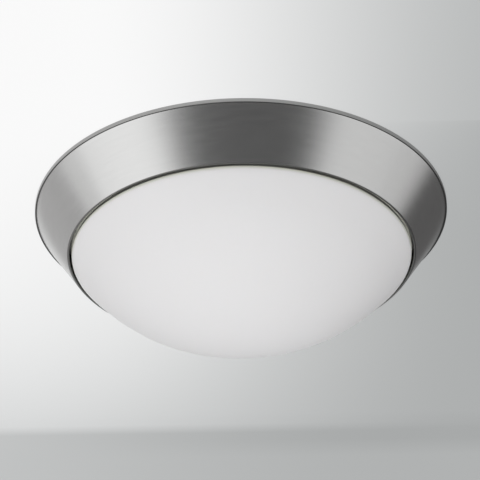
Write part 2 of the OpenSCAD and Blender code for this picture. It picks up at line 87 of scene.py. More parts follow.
def bend(before: np.ndarray, at: np.ndarray, after: np.ndarray, radius: float, steps: int) -> np.ndarray:
    """Turns one corner of a path into an arc.

    The arc touches both legs. Its middle lies on the line that halves the corner, radius / sin(half the
    angle) away from it, and its points are the two touching radii mixed by the sines of the angle.

    Args:
        before: The point before the corner.
        at: The corner.
        after: The point after the corner.
        radius: The radius of the arc.
        steps: How many steps the arc takes.

    Returns:
        The points of the arc, one a row.
    """
    back, ahead = unit(before - at), unit(after - at)
    half = math.acos(float(np.clip(back @ ahead, -1, 1))) / 2
    turn = math.pi - 2 * half
    if radius <= 0 or turn < 1e-3:
        return at[None, :]
    middle = at + unit(back + ahead) * radius / math.sin(half)
    first = at + back * radius / math.tan(half) - middle
    last = at + ahead * radius / math.tan(half) - middle
    share = np.linspace(0, 1, steps + 1)[:, None]
    return middle + (first * np.sin((1 - share) * turn) + last * np.sin(share * turn)) / math.sin(turn)


def rounded(corners: Sequence[Sequence[float]], closed: bool = False, steps: int = 6) -> np.ndarray:
    """Makes a path of corners, each of which is a point followed by the radius of its bend.

    Args:
        corners: The corners, each as its coordinates and then a radius.
        closed: Whether the last corner joins the first.
        steps: How many steps each bend takes.

    Returns:
        The points of the path, one a row.
    """
    data = np.array(corners, float)
    points, radii = data[:, :-1], data[:, -1]
    count = len(points)
    parts = []
    for i in range(count):
        if not closed and i in (0, count - 1):
            parts.append(points[i][None, :])
        else:
            parts.append(bend(points[i - 1], points[i], points[(i + 1) % count], radii[i], steps))
    return np.concatenate(parts)


def arc(middle: Sequence[float], radius: float, start: float, end: float, steps: int) -> np.ndarray:
    """Gives points on an arc: the middle plus radius times (cos, sin), from start to end in degrees."""
    angle = np.radians(np.linspace(start, end, steps + 1))
    return np.array(middle) + radius * np.stack([np.cos(angle), np.sin(angle)], -1)


def refined(path: np.ndarray, step: float, closed: bool = False) -> np.ndarray:
    """Adds evenly spaced points to the long stretches of a path, so that none is longer than step.

    Args:
        path: The points of the path.
        step: The longest stretch that stays.
        closed: Whether the last point joins the first.

    Returns:
        The old points and the new ones between them.
    """
    ring = np.concatenate([path, path[:1]]) if closed else path
    lengths = np.linalg.norm(np.diff(ring, axis=0), axis=1)
    pieces = np.maximum(np.ceil(lengths / step), 1).astype(int)
    parts = [np.linspace(ring[i], ring[i + 1], n, endpoint=False) for i, n in enumerate(pieces)]
    return np.concatenate(parts if closed else parts + [ring[-1:]])


def offset(path: np.ndarray, distance: float) -> np.ndarray:
    """Moves a plane path sideways to its left, each point along the normal of the path there."""
    way = unit(np.gradient(path, axis=0))
    return path + distance * np.stack([-way[:, 1], way[:, 0]], -1)


def lumps(points: np.ndarray, size: float, seed: int, waves: int = 14) -> np.ndarray:
    """Gives a smooth random height for each point, between about -1 and 1.

    It is the sum of sine waves whose directions, phases and lengths round the given size come from the seed.

    Args:
        points: The points, with their coordinates along the last axis.
        size: The usual distance from one lump to the next.
        seed: The seed of the random numbers.
        waves: How many waves are added.

    Returns:
        The heights, in the shape of the points without their last axis.
    """
    random = np.random.default_rng(seed)
    ways = unit(random.normal(size=(waves, 3))) * TURN / (size * random.uniform(0.7, 1.6, (waves, 1)))
    phases = random.uniform(0, TURN, waves)
    return np.sin(points @ ways.T + phases).sum(-1) * math.sqrt(2 / waves) / 1.6


@dataclass(frozen=True)
class Place:
    """A local frame, given by its origin and the directions of its X and Z axes."""

    origin: tuple[float, float, float] = (0.0, 0.0, 0.0)
    x: tuple[float, float, float] = (1.0, 0.0, 0.0)
    z: tuple[float, float, float] = (0.0, 0.0, 1.0)

    def put(self, points: np.ndarray) -> np.ndarray:
        """Carries local points into the part's frame: the origin plus x, y and z times the three axes."""
        axes = np.array([self.x, np.cross(self.z, self.x), self.z])
        return points @ axes + np.array(self.origin)

    def at(self, x: float, y: float, z: float, turn: float = 0.0) -> "Place":
        """Gives a place at a local point, with its X axis turned about Z by an angle in degrees."""
        a = math.radians(turn)
        new_x = np.array(self.x) * math.cos(a) + np.cross(self.z, self.x) * math.sin(a)
        return Place(tuple(self.put(np.array([x, y, z]))), tuple(new_x), self.z)


@dataclass
class Patch:
    """A surface on a grid of points, which may close on itself along its rows or its columns."""

    points: np.ndarray
    round_rows: bool = False
    round_cols: bool = False
    finish: int | np.ndarray = 0
    sleeve: np.ndarray | None = None

    def quads(self, start: int) -> tuple[np.ndarray, np.ndarray]:
        """Gives the grid's squares.

        Args:
            start: The number of the grid's first point in the mesh.

        Returns:
            The corners of each square, one square a row, and the finish of each.
        """
        rows, cols = self.points.shape[:2]
        i = np.arange(rows if self.round_rows else rows - 1)[:, None]
        j = np.arange(cols if self.round_cols else cols - 1)[None, :]
        below, beside = (i + 1) % rows, (j + 1) % cols
        corners = [i * cols + j, i * cols + beside, below * cols + beside, below * cols + j]
        finishes = np.broadcast_to(np.asarray(self.finish, np.int32), corners[0].shape)
        return start + np.stack(corners, -1).reshape(-1, 4), finishes.ravel()


def lathe(
    profile: np.ndarray, place: Place = Place(), turns: int | np.ndarray = 96, closed: bool = True,
    shape: Shape | None = None, finish: int | np.ndarray = 0,
) -> Patch:
    """Carries a profile of (radius, height) points round the Z axis of a place.

    A point at the angle a lies at (r cos a, r sin a, h). A shape function may change r and h with the angle.

    Args:
        profile: The points, each as its radius and its height.
        place: The frame whose Z is the axis.
        turns: How many even steps go round the axis, or the angles themselves.
        closed: Whether the profile's last point joins the first.
        shape: Takes the angles, radii and heights, and gives new radii and heights.
        finish: Which of the piece's finishes the surface has, or a number for each stretch of the profile.

    Returns:
        The surface.
    """
    steps = np.linspace(0, TURN, turns, endpoint=False) if isinstance(turns, int) else turns
    angle = steps[:, None] + np.zeros(len(profile))
    r = np.zeros_like(angle) + np.maximum(profile[:, 0], 0)
    h = np.zeros_like(angle) + profile[:, 1]
    if shape is not None:
        r, h = shape(angle, r, h)
    points = np.stack([r * np.cos(angle), r * np.sin(angle), h], -1)
    return Patch(place.put(points), round_rows=True, round_cols=closed, finish=finish)


def thread(pitch: float, depth: float, low: float, high: float, sharp: bool = False) -> Shape:
    """Makes a shape function that cuts a screw thread into a lathed surface.

    The radius shrinks by depth times a wave of the height over the pitch less the angle over a full turn.
    The wave is a sine for a rolled thread and a triangle for a cut one, and it fades in over half a pitch.

    Args:
        pitch: The rise of the thread in one turn.
        depth: How deep the thread is cut.
        low: The height where the thread starts.
        high: The height where it ends.
        sharp: Whether it is cut, and not rolled.

    Returns:
        The shape function.
    """

    def shape(angle: Field, r: Field, h: Field) -> tuple[Field, Field]:
        """Cuts the thread."""
        phase = h / pitch - angle / TURN
        wave = np.abs(2 * (phase % 1) - 1) if sharp else 0.5 - 0.5 * np.cos(TURN * phase)
        fade = np.clip(np.minimum(h - low, high - h) / (0.5 * pitch), 0, 1)
        return r - depth * wave * fade * (r > 0.3 * r.max()), h

    return shape


def tube(path: np.ndarray, radius: float, sides: int = 20) -> Patch:
    """Sweeps a circle along a path and closes both ends.

    Each ring is its path point plus radius times (cos a N + sin a B), where N is carried along the path with
    no twist. The sleeve values are (cos a, sin a, length so far), for patterns that follow the tube.

    Args:
        path: The points of the path.
        radius: The radius of the tube.
        sides: How many steps go round it.

    Returns:
        The surface.
    """
    ways = unit(np.gradient(path, axis=0))
    side = np.cross(ways[0], [0.0, 0.0, 1.0] if abs(ways[0][2]) < 0.9 else [1.0, 0.0, 0.0])
    normals = []
    for way in ways:
        side = unit(side - (side @ way) * way)
        normals.append(side)
    first = np.array(normals)[:, None, :]
    second = np.cross(ways, np.array(normals))[:, None, :]
    angle = np.linspace(0, TURN, sides, endpoint=False)[None, :, None]
    around = np.cos(angle) * first + np.sin(angle) * second
    size = np.full(len(path), radius)
    size[[0, -1]] = 0.86 * radius
    rings = path[:, None, :] + size[:, None, None] * around
    first_pole, last_pole = (np.repeat(point[None, None], sides, 1) for point in (path[0], path[-1]))
    rings = np.concatenate([first_pole, rings, last_pole])
    run = np.concatenate([[0], np.cumsum(np.linalg.norm(np.diff(path, axis=0), axis=1))])
    run = np.concatenate([run[:1], run, run[-1:]])[:, None] + np.zeros(sides)
    turn = angle[0, :, 0] + np.zeros((len(rings), 1))
    return Patch(rings, round_cols=True, sleeve=np.stack([np.cos(turn), np.sin(turn), run * MM], -1))


def rivet(
    place: Place, grip: float, radius: float = 1.6, head_r: float = 3.2, head_h: float = 0.8,
    gap: float = 0.08,
) -> Patch:
    """Makes a rivet through a stack whose faces are at z = 0 and z = -grip.

    Each head is a dome, (head_r cos t, head_h sin t), and the upper one has the dimple of the rivet set.

    Args:
        place: The frame of the rivet.
        grip: The thickness of the stack.
        radius: The radius of the shank.
        head_r: The radius of the heads.
        head_h: The height of the heads.
        gap: How far each head stands off the stack.

    Returns:
        The surface.
    """
    t = np.linspace(0, math.pi / 2, 12)
    dome = np.stack([head_r * np.cos(t), head_h * np.sin(t) ** 0.8], -1)
    dimpled = dome.copy()
    dimpled[:, 1] -= 0.35 * head_h * np.clip(1 - (dimpled[:, 0] / (0.4 * head_r)) ** 2, 0, 1)
    top = dimpled[::-1] + [0, gap]
    foot = dome * [1, -1] - [0, grip + gap]
    shank = [[radius, gap], [radius, -grip - gap]]
    return lathe(np.concatenate([top, shank, foot]), place, 40, closed=False)


def washer(place: Place, inner: float, outer: float, height: float) -> Patch:
    """Makes a washer that stands on z = 0, with rounded edges.

    Args:
        place: The frame of the washer.
        inner: The radius of its hole.
        outer: Its outer radius.
        height: Its thickness.

    Returns:
        The surface.
    """
    edge = 0.25 * height
    corners = [(inner, 0, edge), (outer, 0, edge), (outer, height, edge), (inner, height, edge)]
    return lathe(rounded(corners, closed=True, steps=3), place, 64)


def screw(
    place: Place, radius: float, length: float, head_r: float, head_h: float, pitch: float,
) -> list[Patch]:
    """Makes a slotted screw that points along Z, with its seat at z = 0 and its head below it.

    The head is cut at the slot into two halves. A half has the points x = sin(u pi / 2) sqrt(R^2 - y^2) for
    y = R sin t, under a crown whose height falls as the root of 1 - (r / R)^4. The slot's walls and floor
    take the same steps, and the rest is a lathed side, seat and threaded shank at the same angles, so all
    edges meet.

    Args:
        place: The frame of the screw.
        radius: The radius of the shank.
        length: The length of the shank.
        head_r: The radius of the head.
        head_h: The height of the head.
        pitch: The pitch of the thread.

    Returns:
        The surfaces.
    """
    slot_w, floor, side = 0.24 * head_r, 0.5 * head_h, 0.64 * head_h
    first = math.asin(slot_w / 2 / head_r)
    across = np.sin(np.linspace(-1, 1, 25) * math.pi / 2)
    share = np.linspace(0, 1, 4)

    def crown(x: Field, y: Field) -> Field:
        """Gives the height of the crown."""
        rise = np.sqrt(np.clip(1 - ((x * x + y * y) / head_r**2) ** 2, 0, 1))
        return -(side + (head_h - side) * rise)

    t = np.linspace(first, math.pi / 2, 13)[:, None]
    x, y = across * head_r * np.cos(t), head_r * np.sin(t) + 0 * across
    cap = np.stack([x, y, crown(x, y)], -1)
    arc_angle = np.linspace(first, math.pi - first, 25)[:, None]
    drop = -side + (side - floor) * share
    wall = np.stack([
        head_r * np.cos(arc_angle) + 0 * drop, head_r * np.sin(arc_angle) + 0 * drop, drop + 0 * arc_angle,
    ], -1)
    down = share[:, None]
    x, y = across * head_r * math.cos(first) + 0 * down, slot_w / 2 + 0 * across + 0 * down
    cheek = np.stack([x, y, crown(x, y) * (1 - down) - floor * down], -1)
    end = np.linspace(-first, first, 5)
    x, y = across * head_r * np.cos(end[:, None]), head_r * np.sin(end[:, None]) + 0 * across
    bed = np.stack([x, y, -floor + 0 * x], -1)
    half = [cap, wall, cheek]
    patches = [Patch(place.put(p * [s, s, 1])) for s in (1, -1) for p in half] + [Patch(place.put(bed))]
    turns = np.concatenate([end[:-1], arc_angle[:-1, 0], end[:-1] + math.pi, arc_angle[:-1, 0] + math.pi])
    shank = refined(np.array([[radius, 0.0], [radius, length - 0.5]]), pitch / 8)
    seat = [[head_r, -floor], [head_r, -0.2], [head_r - 0.2, 0]]
    body = np.concatenate([seat, shank, [[0.7 * radius, length], [0, length]]])
    cut = thread(pitch, 0.16 * radius, 0.3, length - 0.3, sharp=True)
    return patches + [lathe(body, place, turns, closed=False, shape=cut)]


# Nodes of the materials and the world


class Graph:
    """Short ways to add nodes to a tree and to join their sockets."""

    def __init__(self, tree: bpy.types.NodeTree) -> None:
        """Keeps the tree that the nodes go into."""
        self.tree = tree

    @classmethod
    def of(cls, owner: bpy.types.ID) -> "Graph":
        """Gives the node tree of a material or a world, with nothing in it."""
        owner.use_nodes = True
        owner.node_tree.nodes.clear()
        return cls(owner.node_tree)

    def add(self, kind: str, inputs: Inputs | None = None, **settings: object) -> bpy.types.Node:
        """Adds a node.

        Args:
            kind: The node's type in Blender, without the words ShaderNode.
            inputs: Values or sockets for its inputs, by name or number.
            settings: Values for its properties.

        Returns:
            The node.
        """
        node = self.tree.nodes.new(kind if kind.startswith("Node") else "ShaderNode" + kind)
        for key, value in settings.items():
            setattr(node, key, value)
        for key, value in (inputs or {}).items():
            self.feed(node.inputs[key], value)
        return node

    def feed(self, socket: Socket, value: object) -> None:
        """Joins a socket to another one, or sets its value."""
        if isinstance(value, bpy.types.NodeSocket):
            self.tree.links.new(value, socket)
        else:
            socket.default_value = value

    def math(self, operation: str, *values: object) -> Socket:
        """Adds a Math node and gives its result."""
        return self.add("Math", dict(enumerate(values)), operation=operation).outputs[0]

    def plus(self, first: object, second: object) -> Socket:
        """Adds two values."""
        return self.math("ADD", first, second)

    def minus(self, first: object, second: object) -> Socket:
        """Takes the second value from the first."""
        return self.math("SUBTRACT", first, second)

    def times(self, first: object, second: object) -> Socket:
        """Multiplies two values."""
        return self.math("MULTIPLY", first, second)

    def axes(self, vector: object) -> Sequence[Socket]:
        """Splits a vector and gives its three values."""
        return self.add("SeparateXYZ", {0: vector}).outputs

    def place(self) -> Socket:
        """Gives the object coordinates, which are metres in the part's frame."""
        return self.add("TexCoord").outputs["Object"]

    def noise(self, where: object, scale: object, detail: float = 3.0, roughness: float = 0.5) -> Socket:
        """Adds noise of a scale, in lumps a metre, and gives its value."""
        inputs = {"Vector": where, "Scale": scale, "Detail": detail, "Roughness": roughness}
        return self.add("TexNoise", inputs).outputs[0]

    def warped(self, where: object, scale: float, amount: float) -> Socket:
        """Moves coordinates about by noise of a scale, by up to an amount in metres."""
        noise = self.add("TexNoise", {"Vector": where, "Scale": scale}).outputs[1]
        push = self.add("VectorMath", {0: noise, "Scale": amount}, operation="SCALE").outputs[0]
        return self.add("VectorMath", {0: where, 1: push}, operation="ADD").outputs[0]

    def span(
        self, value: object, low: object, high: object, out: Sequence[object] = (0.0, 1.0),
        kind: str = "LINEAR",
    ) -> Socket:
        """Maps a value from one span to another, kept between its ends."""
        inputs = {0: value, 1: low, 2: high, 3: out[0], 4: out[1]}
        return self.add("MapRange", inputs, interpolation_type=kind).outputs[0]

    def smooth(self, value: object, low: float, high: float) -> Socket:
        """Goes smoothly from 0 to 1 as a value goes from low to high."""
        return self.span(value, low, high, kind="SMOOTHSTEP")

    def blend(self, share: object, low: object, high: object) -> Socket:
        """Mixes two colours by a share and gives the colour."""
        node = self.add("Mix", data_type="RGBA")
        for key, value in ((0, share), (6, low), (7, high)):
            self.feed(node.inputs[key], rgba(value) if isinstance(value, tuple) else value)
        return node.outputs[2]

    def ramp(self, value: object, stops: Sequence[tuple[float, Colour]]) -> Socket:
        """Adds a colour ramp.

        Args:
            value: What is looked up in it.
            stops: The place and the colour of each of its stops, in order.

        Returns:
            Its colour.
        """
        node = self.add("ValToRGB", {0: value})
        elements = node.color_ramp.elements
        while len(elements) > 1:
            elements.remove(elements[-1])
        elements[0].position, elements[0].color = stops[0][0], rgba(stops[0][1])
        for at, colour in stops[1:]:
            elements.new(at).color = rgba(colour)
        return node.outputs[0]

    def bump(self, height: object, depth: float, strength: float) -> Socket:
        """Adds a bump of a height map, whose full height is depth in metres, and gives the normal."""
        return self.add("Bump", {"Height": height, "Distance": depth, "Strength": strength}).outputs[0]


def rgba(colour: Sequence[float]) -> tuple[float, float, float, float]:
    """Adds a full alpha to a colour."""
    return (*colour, 1.0)


def grey(level: float, cool: float = 0.0) -> Colour:
    """Gives a grey whose red falls by up to the share cool as the grey gets darker."""
    return (level * (1 - cool * (1 - min(level, 1.0))), level, level)


# Effects that several materials share


class Effect(Enum):
    """The shared effects. Each value names both the node group and the method that makes its nodes."""

    GRAIN = "fine_grain"
    TURNED = "turned_lines"
    WEAR = "edge_wear"
    SLEEVE = "braided_sleeve"
    SETTLED = "settled_dust"


class EffectLibrary:
    """Builds each shared effect once, as a node group with named inputs and outputs.

    A method that makes an effect's nodes takes the group's graph and its inputs by name, and gives its
    outputs by name.
    """

    INPUTS: dict[Effect, Inputs] = {
        Effect.GRAIN: {"Scale": 900.0},
        Effect.TURNED: {"Lines": 4200.0, "Stretch": 5.0},
        Effect.WEAR: {"Amount": 1.0, "Scale": 700.0},
        Effect.SLEEVE: {"Vector": (0.0, 0.0, 0.0), "Strands": 8.0, "Pitch": 0.0055},
        Effect.SETTLED: {"Amount": 0.2},
    }

    def __init__(self) -> None:
        """Starts with no group built."""
        self.groups: dict[Effect, bpy.types.NodeTree] = {}

    def use(self, graph: Graph, effect: Effect, **inputs: object) -> Inputs:
        """Places an effect in a material.

        Args:
            graph: The material's nodes.
            effect: Which effect.
            inputs: Values for the group's inputs, by name.

        Returns:
            The outputs of the group node, which are read by name.
        """
        if effect not in self.groups:
            self.groups[effect] = self.group(effect)
        return graph.add("Group", inputs, node_tree=self.groups[effect]).outputs

    def mask(self, graph: Graph, effect: Effect, **inputs: float) -> Socket:
        """Places an effect in a material and gives its mask."""
        return self.use(graph, effect, **inputs)["Mask"]

    def group(self, effect: Effect) -> bpy.types.NodeTree:
        """Makes the node group of an effect, with plain values as its outputs.

        Args:
            effect: Which effect.

        Returns:
            The group.
        """
        tree = bpy.data.node_groups.new(effect.value, "ShaderNodeTree")
        for name, value in self.INPUTS[effect].items():
            kind = "NodeSocketVector" if name == "Vector" else "NodeSocketFloat"
            tree.interface.new_socket(name, in_out="INPUT", socket_type=kind).default_value = value
        graph = Graph(tree)
        made = getattr(self, effect.value)(graph, graph.add("NodeGroupInput").outputs)
        for name in made:
            tree.interface.new_socket(name, in_out="OUTPUT", socket_type="NodeSocketFloat")
        graph.add("NodeGroupOutput", made)
        return tree

    @staticmethod
    def fine_grain(graph: Graph, given: Inputs) -> Inputs:
        """Fine and coarse noise over the part: Height for bumps, and Cloud for slow changes of tone."""
        where = graph.place()
        return {
            "Height": graph.noise(where, given["Scale"], 5.0, 0.62),
            "Cloud": graph.noise(where, graph.times(given["Scale"], 0.06)),
        }

    @staticmethod
    def turned_lines(graph: Graph, given: Inputs) -> Inputs:
        """Lines that run round the Z axis, as brushing on a spinning piece leaves them.

        The noise is read at (cos a, sin a) times a small size and at the distance along the surface times a
        large one, so it is drawn out round the axis and has no seam.
        """
        x, y, z = graph.axes(graph.place())
        radius = graph.math("SQRT", graph.plus(graph.times(x, x), graph.times(y, y)))
        safe = graph.math("MAXIMUM", radius, 0.001)
        around = [graph.math("DIVIDE", side, safe) for side in (x, y)]
        run = graph.minus(graph.times(radius, 0.56), graph.times(z, 0.83))
        levels = []
        for share, detail in ((1.0, 3.0), (0.22, 2.0)):
            stretch = graph.times(given["Stretch"], 1.0 + share)
            lines = graph.times(given["Lines"], share)
            sides = [graph.times(side, stretch) for side in around] + [graph.times(run, lines)]
            where = graph.add("CombineXYZ", dict(enumerate(sides))).outputs[0]
            levels.append(graph.noise(where, 1.0, detail, 0.55))
        return {"Height": levels[0], "Streak": graph.span(levels[1], *NOISE_SPAN)}

    @staticmethod
    def edge_wear(graph: Graph, given: Inputs) -> Inputs:
        """A mask that is 1 on rubbed outer edges: the pointiness of the mesh, broken up by noise."""
        point = graph.add("NewGeometry").outputs["Pointiness"]
        noise = graph.noise(graph.place(), given["Scale"], 4.0)
        edge = graph.span(graph.plus(point, graph.times(noise, 0.08)), 0.56, 0.66)
        return {"Mask": graph.times(edge, given["Amount"])}

    @staticmethod
    def braided_sleeve(graph: Graph, given: Inputs) -> Inputs:
        """The weave of a braided sleeve, from the sleeve attribute (cos a, sin a, length).

        Two families of strands run round the wire in opposite helices, along a k + s and a k - s. Each is a
        rounded ridge, and the product of two waves says which of them lies on top.
        """

        def wave(phase: Socket) -> Socket:
            """Gives the sine of half a turn times a phase."""
            return graph.math("SINE", graph.times(phase, math.pi))

        x, y, run = graph.axes(given["Vector"])
        turn = graph.times(graph.math("DIVIDE", graph.math("ARCTAN2", y, x), TURN), given["Strands"])
        rise = graph.times(graph.math("DIVIDE", run, given["Pitch"]), given["Strands"])
        ridges = [graph.math("ABSOLUTE", wave(join(turn, rise))) for join in (graph.plus, graph.minus)]
        over = graph.span(graph.times(wave(turn), wave(rise)), -0.15, 0.15)
        height = graph.plus(graph.times(ridges[0], over), graph.times(ridges[1], graph.minus(1.0, over)))
        return {"Height": graph.math("POWER", height, 0.6)}

    @staticmethod
    def settled_dust(graph: Graph, given: Inputs) -> Inputs:
        """A mask of the fine dust that settles on faces that look up, in soft patches."""
        up = graph.axes(graph.add("NewGeometry").outputs["Normal"])[2]
        patches = graph.span(graph.noise(graph.place(), 60.0, 5.0, 0.6), 0.35, 0.7)
        mask = graph.times(graph.span(up, 0.4, 0.95), patches)
        return {"Mask": graph.times(mask, given["Amount"])}


EFFECTS = EffectLibrary()


# Finishes


@dataclass(frozen=True)
class Finish:
    """A finish, which makes its material the first time that it is asked for.

    The grain is in lumps a metre. The tones say how many times as bright as its colour the finish is where a
    mask is 0 and where it is 1. The swing is how far the roughness goes down and up with a noise, and the
    relief is the depth in metres and the strength of a bump.
    """

    slot: str
    colour: Colour
    roughness: float = 0.4
    metallic: float = 0.0
    grain: float = 900.0
    tones: Pair = (1.0, 1.0)
    swing: Pair = (0.0, 0.0)
    relief: Pair = (0.0, 1.0)

    def material(self) -> bpy.types.Material:
        """Gives the material, with the finish's own nodes.

        Returns:
            The material, which is the same one each time.
        """
        name = f"finish_{self.slot}_{type(self).__name__}_{1000 * self.colour[0]:.0f}"
        made = bpy.data.materials.get(name)
        if made is None:
            made = bpy.data.materials.new(name)
            made.diffuse_color = rgba(self.colour)
            graph = Graph.of(made)
            plain = {"Base Color": rgba(self.colour), "Roughness": self.roughness, "Metallic": self.metallic}
            shader = graph.add("BsdfPrincipled", plain)
            for key, value in self.dress(graph).items():
                graph.feed(shader.inputs[key], value)
            graph.add("OutputMaterial", {"Surface": shader.outputs[0]})
        return made

    def dress(self, graph: Graph) -> Inputs:
        """Adds the nodes that are the finish's own.

        Args:
            graph: The material's nodes.

        Returns:
            Values or sockets for the shader's inputs, by name.
        """
        return {}

    def grained(self, graph: Graph) -> Inputs:
        """Places the fine grain and gives its outputs."""
        return EFFECTS.use(graph, Effect.GRAIN, Scale=self.grain)

    def toned(self, graph: Graph, mask: Socket) -> Socket:
        """Gives the finish's colour, from its lower to its higher tone as a mask goes from 0 to 1."""
        return graph.blend(mask, *(tuple(min(c * tone, 1.0) for c in self.colour) for tone in self.tones))

    def swung(self, graph: Graph, noise: Socket, low: float, high: float) -> Socket:
        """Gives the roughness, which goes over its swing as a noise goes from low to high."""
        return graph.span(noise, low, high, (self.roughness - self.swing[0], self.roughness + self.swing[1]))

    def raised(self, graph: Graph, height: Socket) -> Socket:
        """Gives the normal of a bump as deep as the finish's relief."""
        return graph.bump(height, *self.relief)


@dataclass(frozen=True)
class BrushedNickel(Finish):
    """Satin nickel, brushed round the axis, with a clear lacquer too thin to see."""

    grain: float = 2600.0
    tones: Pair = (0.984, 1.016)
    swing: Pair = (0.015, 0.015)
    relief: Pair = (0.000004, 0.3)
    lines: float = 4200.0
    stretched: float = 0.3
    clouded: float = 0.03

    def dress(self, graph: Graph) -> Inputs:
        """Lines change the tone a little, the roughness more, and stand out as a fine bump."""
        turned = EFFECTS.use(graph, Effect.TURNED, Lines=self.lines)
        cloud = graph.times(graph.minus(self.grained(graph)["Cloud"], 0.5), self.clouded)
        return {
            "Anisotropic": self.stretched,
            "Anisotropic Rotation": 0.25,
            "Tangent": graph.add("Tangent", direction_type="RADIAL", axis="Z").outputs[0],
            "Base Color": self.toned(graph, turned["Streak"]),
            "Roughness": graph.plus(self.swung(graph, turned["Streak"], 0.0, 1.0), cloud),
            "Normal": self.raised(graph, turned["Height"]),
        }


@dataclass(frozen=True)
class RolledEdge(BrushedNickel):
    """The ring's hem, crease and rolled edge: nickel darkened as painted shade, and free of the long lines
    of the brush.
    """

    relief: Pair = (0.000003, 0.3)
    lines: float = 1500.0
    stretched: float = 0.1


@dataclass(frozen=True)
class OpalGlass(Finish):
    """White cased glass with a satin outside, a tinted neck with a grey band of painted shade, and a
    polished lip.

    Heights are in millimetres; the stretches of the tint and the painted shade are counted from the neck's
    foot.
    """

    grain: float = 5200.0
    tones: Pair = (0.992, 1.006)
    relief: Pair = (0.000008, 0.12)
    edge: Colour = (0.88, 0.88, 0.78)
    rubbed: Colour = (0.24, 0.24, 0.22)
    polish: float = 0.12
    neck_foot: float = -52.5
    tinted: Pair = (-2.2, 0.8)
    gap_shade_foot: Pair = (0.6, 2.0)
    gap_shade_top: Pair = (4.4, 5.4)
    lip_foot: float = -48.5
    lip_half: float = 0.4

    def dress(self, graph: Graph) -> Inputs:
        """The etched surface has a fine tooth, and the neck has the clear layer's tint and a band of painted
        shade.
        """
        height = graph.axes(graph.place())[2]
        neck, foot, top = (
            graph.smooth(height, (self.neck_foot + start) * MM, (self.neck_foot + end) * MM)
            for start, end in (self.tinted, self.gap_shade_foot, self.gap_shade_top)
        )
        lip = graph.span(height, (self.lip_foot - self.lip_half) * MM, (self.lip_foot + self.lip_half) * MM)
        grain = self.grained(graph)
        # Between foot and top the neck takes a grey band: painted shade where the ring's bead hides it
        edge = graph.blend(graph.minus(foot, top), self.edge, self.rubbed)
        satin = graph.plus(graph.times(grain["Cloud"], 0.06), self.roughness - 0.03)
        return {
            "Subsurface Weight": 0.18,
            "Subsurface Radius": (1.0, 0.95, 0.9),
            "Subsurface Scale": 0.006,
            "Specular IOR Level": 0.42,
            "Base Color": graph.blend(neck, self.toned(graph, grain["Cloud"]), edge),
            "Roughness": graph.span(lip, 0.0, 1.0, (satin, self.polish)),
            "Normal": self.raised(graph, grain["Height"]),
        }


@dataclass(frozen=True)
class Enamel(Finish):
    """Gloss paint baked on sheet metal, with a faint orange peel."""

    grain: float = 420.0
    tones: Pair = (0.975, 1.01)
    relief: Pair = (0.00006, 0.25)
    thin: float = 0.82
    dust: Colour = (0.62, 0.60, 0.56)

    def dress(self, graph: Graph) -> Inputs:
        """The paint pools into soft lumps, is thinner on edges, and holds a trace of dust on top."""
        grain = self.grained(graph)
        dust = EFFECTS.mask(graph, Effect.SETTLED, Amount=0.16)
        wear = EFFECTS.mask(graph, Effect.WEAR, Amount=0.35)
        thin = tuple(c * self.thin for c in self.colour)
        paint = graph.blend(wear, self.toned(graph, grain["Cloud"]), thin)
        return {
            "Coat Weight": 0.35,
            "Coat Roughness": 0.08,
            "Base Color": graph.blend(dust, paint, self.dust),
            "Roughness": graph.plus(self.roughness, graph.times(dust, 0.6)),
            "Normal": self.raised(graph, grain["Height"]),
        }


@dataclass(frozen=True)
class PlatedSteel(Finish):
    """Steel with a thin plating: rolled grain, a cloudy tint from its last bath, and bright rubbed edges."""

    grain: float = 1500.0
    swing: Pair = (0.07, 0.08)
    relief: Pair = (0.00002, 0.35)
    tint: Colour = (0.70, 0.72, 0.80)
    worn: Colour = (0.88, 0.88, 0.87)
    dust: Colour = (0.55, 0.54, 0.50)

    def dress(self, graph: Graph) -> Inputs:
        """The tint comes and goes in clouds, edges are brighter, and the grain is a fine bump."""
        grain = self.grained(graph)
        wear = EFFECTS.mask(graph, Effect.WEAR, Amount=0.75)
        dust = EFFECTS.mask(graph, Effect.SETTLED, Amount=0.12)
        tinted = graph.blend(graph.span(grain["Cloud"], 0.38, 0.66), self.colour, self.tint)
        rough = self.swung(graph, grain["Height"], *NOISE_SPAN)
        return {
            "Anisotropic": 0.25,
            "Base Color": graph.blend(dust, graph.blend(wear, tinted, self.worn), self.dust),
            "Roughness": graph.plus(rough, graph.times(dust, 0.5)),
            "Normal": self.raised(graph, grain["Height"]),
        }


@dataclass(frozen=True)
class DullPlating(PlatedSteel):
    """The thin and dull plating inside the ring, which was never brushed."""


@dataclass(frozen=True)
class Stamped(Finish):
    """Bare soft metal such as brass, copper or aluminium, with tarnish in its hollows."""

    grain: float = 1100.0
    swing: Pair = (0.0, 0.2)
    relief: Pair = (0.000015, 0.3)
    tarnish: Colour = (0.5, 0.36, 0.16)

    def dress(self, graph: Graph) -> Inputs:
        """Hollows and clouds are darker and rougher than ridges."""
        grain = self.grained(graph)
        hollow = graph.span(graph.add("NewGeometry").outputs["Pointiness"], 0.52, 0.44)
        cloud = graph.span(grain["Cloud"], 0.48, 0.72)
        mask = graph.math("MINIMUM", graph.plus(graph.times(hollow, 0.6), graph.times(cloud, 0.4)), 1.0)
        return {
            "Base Color": graph.blend(mask, self.colour, self.tarnish),
            "Roughness": self.swung(graph, mask, 0.0, 1.0),
            "Normal": self.raised(graph, grain["Height"]),
        }


